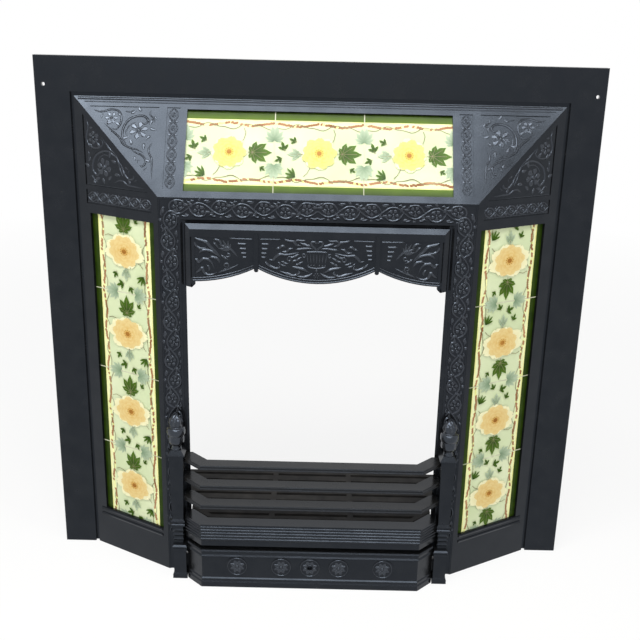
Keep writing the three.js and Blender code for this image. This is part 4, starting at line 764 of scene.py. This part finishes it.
class Print:
    """Flat shapes laid over one another on a tile's face, each a hair above the last."""

    def __init__(self, along, up):
        self.centre = (along, up)
        self.relief = Relief()
        self.level = 0
        self.stretch = 1.0  # across the row of tiles

    def fill(self, rows, colour, shades=None):
        self.level += 1
        relief = self.relief
        relief.slot = colour
        height = INK_LOW + INK_STEP * self.level
        along, up = self.centre
        relief.grid([
            [(along + a, up + b * self.stretch, height) for a, b in row] for row in rows
        ], shades)

    def strip(self, near, far, colour, shades):
        """A band along the tile, from its edge nearer the flower to the other."""
        steps = np.linspace(-1, 1, 9) * math.copysign(TILE / 2 - 0.6, near - far)
        self.fill([[(a, near) for a in steps], [(a, far) for a in steps]], colour,
                  [[shade] * 9 for shade in shades])

    def disc(self, centre, radius, colour):
        turns = np.linspace(0, -2 * math.pi, 17)
        self.fill([[(centre[0] + r * math.cos(t), centre[1] + r * math.sin(t)) for t in turns]
                   for r in (0.02, radius)], colour, [[0.2] * 17, [0.8] * 17])

    def line(self, path, width, colour):
        path = np.asarray(path, float)
        ahead = np.gradient(path, axis=0)
        ahead /= np.linalg.norm(ahead, axis=1)[:, None]
        side = np.stack([-ahead[:, 1], ahead[:, 0]], axis=1) * width / 2
        self.fill([(path + side).tolist(), (path - side).tolist()], colour)

    def petal(self, start, angle, length, width, colour, notch=0.0, lobes=0):
        """A petal with a dent in its end, or a leaf with lobed edges."""
        steps, sides = 14, 4
        across = np.linspace(1, -1, sides + 1)
        rows, shades = [], []
        spot = np.array(start, float)
        ahead = np.array([math.cos(angle), math.sin(angle)])
        normal = np.array([-math.sin(angle), math.cos(angle)])
        for i in range(steps + 1):
            t = i / steps
            if i:
                spot = spot + ahead * length / steps
            if lobes:
                half = width / 2 * math.sin(math.pi * (0.05 + 0.93 * t) ** 0.8)
                half *= 0.62 + 0.38 * abs(math.sin(math.pi * lobes * t + 0.3))
            else:
                half = width / 2 * math.sin(math.pi * (0.04 + 0.94 * t) ** 1.15) ** 0.75
            dent = ahead * notch * t ** 6
            row = [spot + normal * half * s - dent * (1 - abs(s)) for s in across]
            rows.append([tuple(p) for p in row])
            shades.append([min(1.0, t + 0.15 * abs(s)) for s in across])
        self.fill(rows, colour, shades)


BAND = 16.5  # width of the dark border
# A leaf's lobes: each a turn from the leaf's line and a share of its size.
BROAD_LEAF = (
    (0.0, 1.0), (0.6, 0.86), (-0.6, 0.86), (1.25, 0.62), (-1.25, 0.62), (2.0, 0.36), (-2.0, 0.36)
)
GREY_LEAF = ((0.0, 1.0), (0.7, 0.8), (-0.7, 0.8))
SMALL_LEAF = ((0.0, 1.0), (0.95, 0.75), (-0.95, 0.75))
SMALL_LEAVES = (  # foot, direction and size
    ((-58, 3), 1.9, 19), ((-62, -9), 3.6, 15), ((-38, 20), 2.7, 15), ((52, -26), -0.6, 12)
)
PETAL_ROUNDS = ((9, 28, 21), (9, 23, 17), (7, 17, 14), (6, 10.5, 9))  # count, length and width


def tile_print(along, up, seed, border_painted_shade, wide):
    """A flower with a broad leaf beyond it and small ones before it, between two corded lines."""
    rng = random.Random(seed)
    ink = Print(along, up)
    edge = TILE / 2
    band = edge - BAND
    for side in (1, -1):
        ink.strip(side * (band - 13), side * band, CREAM, (0.1, 0.9))
        # The border darkens towards its outer edge: a painted shadow of the iron window's edge.
        ink.strip(side * band, side * (edge - 0.6), BORDER, border_painted_shade)
        ink.strip(side * (band - 2.2), side * band, LINE, (0.5, 0.5))
        # A cord of short slanted beads in two shallow swags, and a thin stem that winds about it.
        for half in (-1, 1):
            middle = half * edge / 2
            level = side * (band - 10.0)
            for a in np.linspace(middle - 35, middle + 35, 19):
                sag = 2.6 * math.cos(math.pi * (a - middle) / edge * 1.9)
                slant = side * 0.5 + rng.uniform(-0.25, 0.25)
                bead = ROPE if rng.random() < 0.8 else LINE
                ink.petal((a - 2.5, level - side * sag), slant, 6.4, 4.6, bead)
        stem = [(a, side * (band - 12.5 - 4.2 * math.cos(a / 11.0) - 1.5 * math.sin(a / 5.0)))
                for a in np.linspace(-72, 72, 60)]
        ink.line(stem, 1.3, STEM)
        # Half a grey leaf at each end, which the next tile completes.
        for end in (1, -1):
            base = (end * (edge - 1.2), side * 22.0)
            outward = math.pi / 2 * side
            for lean, length in ((0.1, 27), (0.62, 22), (1.15, 17), (1.7, 12)):
                ink.petal(base, outward + lean * end * side, length, length * 0.42, PALE, lobes=2)
    ink.line([(24, 44), (27, 36), (25, 26), (20, 16)], 1.1, STEM)
    ink.line([(-26, -42), (-20, -36), (-14, -24)], 1.1, STEM)
    vine_leaf(ink, (30, 0), 0.0, 42, LEAF, BROAD_LEAF)
    vine_leaf(ink, (-28, -2), math.pi, 26, PALE, GREY_LEAF)
    for spot, towards, size in SMALL_LEAVES:
        vine_leaf(ink, spot, towards, size, LEAF, SMALL_LEAF)
    for lean in (-0.5, -0.1, 0.35, 0.8):
        ink.petal((-40, -43), 2.4 + lean, 21 - 7 * abs(lean), 4.0, LEAF)
    turn = rng.uniform(0, 0.6)
    ink.stretch = 1.55 if wide else 1.0
    for i in range(8):
        a = turn + 2 * math.pi * i / 8 + rng.uniform(-0.12, 0.12)
        ink.petal((8 * math.cos(a), 8 * math.sin(a)), a, rng.uniform(21, 25), 22, SOFT, notch=3.0)
    ink.stretch = 1.2 if wide else 1.0
    for ring, (count, length, width) in enumerate(PETAL_ROUNDS):
        for i in range(count):
            a = turn + 2 * math.pi * (i + 0.5 * ring) / count + rng.uniform(-0.08, 0.08)
            reach = length * rng.uniform(0.93, 1.04)
            ink.petal((2 * math.cos(a), 2 * math.sin(a)), a, reach, width, PETAL, notch=2.2)
    ink.disc((0, 0), 4.2, HEART)
    for i in range(11):
        a = 2 * math.pi * i / 11
        ink.petal((5.2 * math.cos(a), 5.2 * math.sin(a)), a, 2.4, 1.3, HEART)
    return ink.relief


def vine_leaf(ink, base, towards, size, colour, lobes):
    """A lobed leaf on a stalk. A large one has veins."""
    root = (base[0] + 0.22 * size * math.cos(towards), base[1] + 0.22 * size * math.sin(towards))
    for lean, reach in lobes:
        width = size * 0.36 * reach ** 0.5
        ink.petal(root, towards + lean, size * 0.8 * reach, width, colour, lobes=2)
    ink.disc(root, size * 0.13, colour)
    ink.line([base, root], 1.0, STEM)
    if size > 20:
        for lean, reach in lobes:
            length, heading = size * 0.6 * reach, towards + lean
            tip = (root[0] + length * math.cos(heading), root[1] + length * math.sin(heading))
            ink.line([root, tip], 0.6, STEM)


SIDE_LOW = 75.0  # the lowest side tile's lower edge
JOINT_HALF = 0.3
TOP_MIDDLE = (-168.54 - 20.5) / 2  # the windows' middles, down the panels' slope
SIDE_MIDDLE = (-169.54 - 24.5) / 2
TOP_BORDER_PAINTED_SHADE = (0.85, 0.05)  # the border's painted shadow, from its inner to its outer edge, darkest under the iron
# The side tiles' border is painted darker all over: painted shade of the iron edge and of less
# light on the sides.
SIDE_BORDER_PAINTED_SHADE = (0.18, 0.0)


def tiles():
    for i in range(3):
        along = (i - 1) * TILE_PITCH
        yield f"top_tile_{i + 1}", TOP, along, TOP_MIDDLE, YELLOW_GLAZE, TOP_BORDER_PAINTED_SHADE
    for i in range(4):
        along = SIDE_LOW + TILE / 2 + i * TILE_PITCH
        yield f"left_tile_{i + 1}", LEFT, along, SIDE_MIDDLE, PEACH_GLAZE, SIDE_BORDER_PAINTED_SHADE
        yield f"right_tile_{i + 1}", RIGHT, -along, SIDE_MIDDLE, PEACH_GLAZE, SIDE_BORDER_PAINTED_SHADE


def print_tiles():
    for seed, (node, plane, along, up, petal, border_painted_shade) in enumerate(tiles()):
        face = Plane(plane.origin + plane.axes[2] * TILE_FACE, *plane.axes)
        inks = [BORDER_GLAZE, LINE_GLAZE, ROPE_GLAZE, STEM_GLAZE, LEAF_GLAZE, PALE_LEAF_GLAZE,
                petal, HEART_GLAZE, SOFT_GLAZE, CREAM_GLAZE]
        relief = tile_print(along, up, seed, border_painted_shade, plane is not TOP)
        relief.make(f"{node}_print", face, inks, "surround", "tile_glaze")
    grout("top", TOP, [(i - 0.5) * TILE_PITCH for i in (0, 1)], TOP_MIDDLE, False)
    side_joints = [SIDE_LOW + i * TILE_PITCH - JOINT_HALF for i in (1, 2, 3)]
    grout("side", LEFT, side_joints, SIDE_MIDDLE, True)


def grout(name, plane, joints, middle, both):
    """The pale joints between tiles, flush with their faces."""
    face = Plane(plane.origin + plane.axes[2] * TILE_FACE, *plane.axes)
    relief = Relief()
    for along in joints:
        path = [(along, middle - TILE / 2 + 1), (along, middle), (along, middle + TILE / 2 - 1)]
        relief.stroke(path, 1.9, 0.05, ends=(0, 0), base=-0.8)
    relief.make(f"{name}_tile_joints", face, [GROUT], "surround", "tile_glaze", both=both)


# ---- Finishes of the CAD's own pieces ------------------------------------------------------------
CAST_EDGE = 0.0007  # metres, the softened edges of the castings
FINE_EDGE = 0.0004
EDGE_ANGLE = math.radians(32)


def dress_nodes():
    for name, node in NODES.items():
        if "tile" in name and "strap" not in name:
            material = FIELD_GLAZE
        elif "bolt" in name or "strap" in name or "stud" in name:
            material = STEEL
        elif name == "bottom_grate":
            material = GRATE_IRON
        elif name.endswith("_bar"):
            material = BAR_IRON
        else:
            material = IRON
        node.data.materials.clear()
        node.data.materials.append(material)
        soft = node.modifiers.new("cast_edges", "BEVEL")
        soft.width = FINE_EDGE if material in (STEEL, FIELD_GLAZE) else CAST_EDGE
        soft.segments = 2
        soft.limit_method = "ANGLE"
        soft.angle_limit = EDGE_ANGLE
        soft.harden_normals = True
        soft.use_clamp_overlap = True


# ---- Light ---------------------------------------------------------------------------------------
LAMP_COLOUR = (1.0, 1.0, 0.97)


def lamp(name, place, target, size, power, mirrored=False):
    """A soft box. The mirrored ones show in the iron's sheen."""
    data = bpy.data.lights.new(name, "AREA")
    data.shape = "RECTANGLE"
    data.size, data.size_y = size
    data.energy = power
    data.color = LAMP_COLOUR
    light = bpy.data.objects.new(name, data)
    light.location = place
    light.rotation_euler = (Vector(target) - Vector(place)).to_track_quat("-Z", "Y").to_euler()
    light.visible_glossy = mirrored
    bpy.context.scene.collection.objects.link(light)


def seen_directly(tree):
    """1 for camera, glossy and transmission rays, which see the pale background as it is."""
    path = add(tree, "ShaderNodeLightPath")
    either = add(tree, "ShaderNodeMath", operation="MAXIMUM")
    tree.links.new(path.outputs["Is Camera Ray"], either.inputs[0])
    tree.links.new(path.outputs["Is Glossy Ray"], either.inputs[1])
    result = add(tree, "ShaderNodeMath", operation="MAXIMUM")
    tree.links.new(either.outputs["Value"], result.inputs[0])
    tree.links.new(path.outputs["Is Transmission Ray"], result.inputs[1])
    return result.outputs["Value"]


FLOOR_GAP = 0.0005
FLOOR_HALF = 40.0
FLOOR_WHITE = 0.86  # how far the floor goes to plain white near the piece, from 0 to 1
FLOOR_FADE = (0.8, 3.5)  # metres, between which it grows all white


def make_floor():
    """A plain pale floor that keeps a faint shadow of the piece."""
    mesh = bpy.data.meshes.new("floor")
    square = ((-1, -1), (1, -1), (1, 1), (-1, 1))
    corners = [(x * FLOOR_HALF, y * FLOOR_HALF, -FLOOR_GAP) for x, y in square]
    mesh.from_pydata(corners, [], [(0, 1, 2, 3)])
    floor = bpy.data.objects.new("floor", mesh)
    bpy.context.scene.collection.objects.link(floor)
    material, tree, shader = new_material("pale_floor")
    mesh.materials.append(material)
    shader.inputs["Base Color"].default_value = (0.86, 0.86, 0.86, 1.0)
    shader.inputs["Roughness"].default_value = 0.9
    shader.inputs["Specular IOR Level"].default_value = 0.0
    shine = add(tree, "ShaderNodeEmission")
    shine.inputs["Color"].default_value = (1.0, 1.0, 1.0, 1.0)
    coords = add(tree, "ShaderNodeTexCoord")
    away = add(tree, "ShaderNodeVectorMath", operation="LENGTH")
    tree.links.new(coords.outputs["Object"], away.inputs[0])
    white = spread(tree, away.outputs["Value"], *FLOOR_FADE, FLOOR_WHITE, 1.0)
    share = add(tree, "ShaderNodeMath", operation="MULTIPLY")
    tree.links.new(white, share.inputs[0])
    tree.links.new(seen_directly(tree), share.inputs[1])
    mix = add(tree, "ShaderNodeMixShader")
    tree.links.new(share.outputs["Value"], mix.inputs["Fac"])
    tree.links.new(shader.outputs["BSDF"], mix.inputs[1])
    tree.links.new(shine.outputs["Emission"], mix.inputs[2])
    tree.links.new(mix.outputs["Shader"], tree.nodes["Material Output"].inputs["Surface"])


def make_light():
    """White all round where it is seen, a soft grey fill otherwise, and six soft boxes."""
    world = bpy.data.worlds.new("world")
    bpy.context.scene.world = world
    world.use_nodes = True
    tree = world.node_tree
    tree.nodes.clear()
    out = add(tree, "ShaderNodeOutputWorld")
    fill = add(tree, "ShaderNodeBackground")
    fill.inputs["Color"].default_value = (0.16, 0.16, 0.16, 1.0)
    paper = add(tree, "ShaderNodeBackground")
    paper.inputs["Color"].default_value = (1.0, 1.0, 1.0, 1.0)
    mix = add(tree, "ShaderNodeMixShader")
    tree.links.new(seen_directly(tree), mix.inputs["Fac"])
    tree.links.new(fill.outputs["Background"], mix.inputs[1])
    tree.links.new(paper.outputs["Background"], mix.inputs[2])
    tree.links.new(mix.outputs["Shader"], out.inputs["Surface"])
    lamp("top_soft", (-0.32, -1.45, 2.8), (-0.1, 0, 0.8), (2.1, 0.8), 56, mirrored=True)
    lamp("front_soft", (-0.1, -2.2, 1.45), (0, 0, 0.3), (1.8, 0.5), 22, mirrored=True)
    lamp("left_high", (-0.88, -0.7, 2.5), (0.3, 0, 0.6), (0.6, 0.6), 11, mirrored=True)
    lamp("right_high", (0.88, -0.7, 2.5), (-0.3, 0, 0.6), (0.6, 0.6), 11, mirrored=True)
    lamp("left_soft", (-2.2, -2.0, 1.2), (0.2, 0, 0.4), (1.0, 1.4), 13)
    lamp("right_soft", (2.2, -2.0, 1.2), (-0.2, 0, 0.4), (1.0, 1.4), 13)


arch_band()
panels()
hood()
rosettes()
finials()
print_tiles()
dress_nodes()
make_floor()
make_light()
bpy.context.scene.view_settings.view_transform = "Standard"
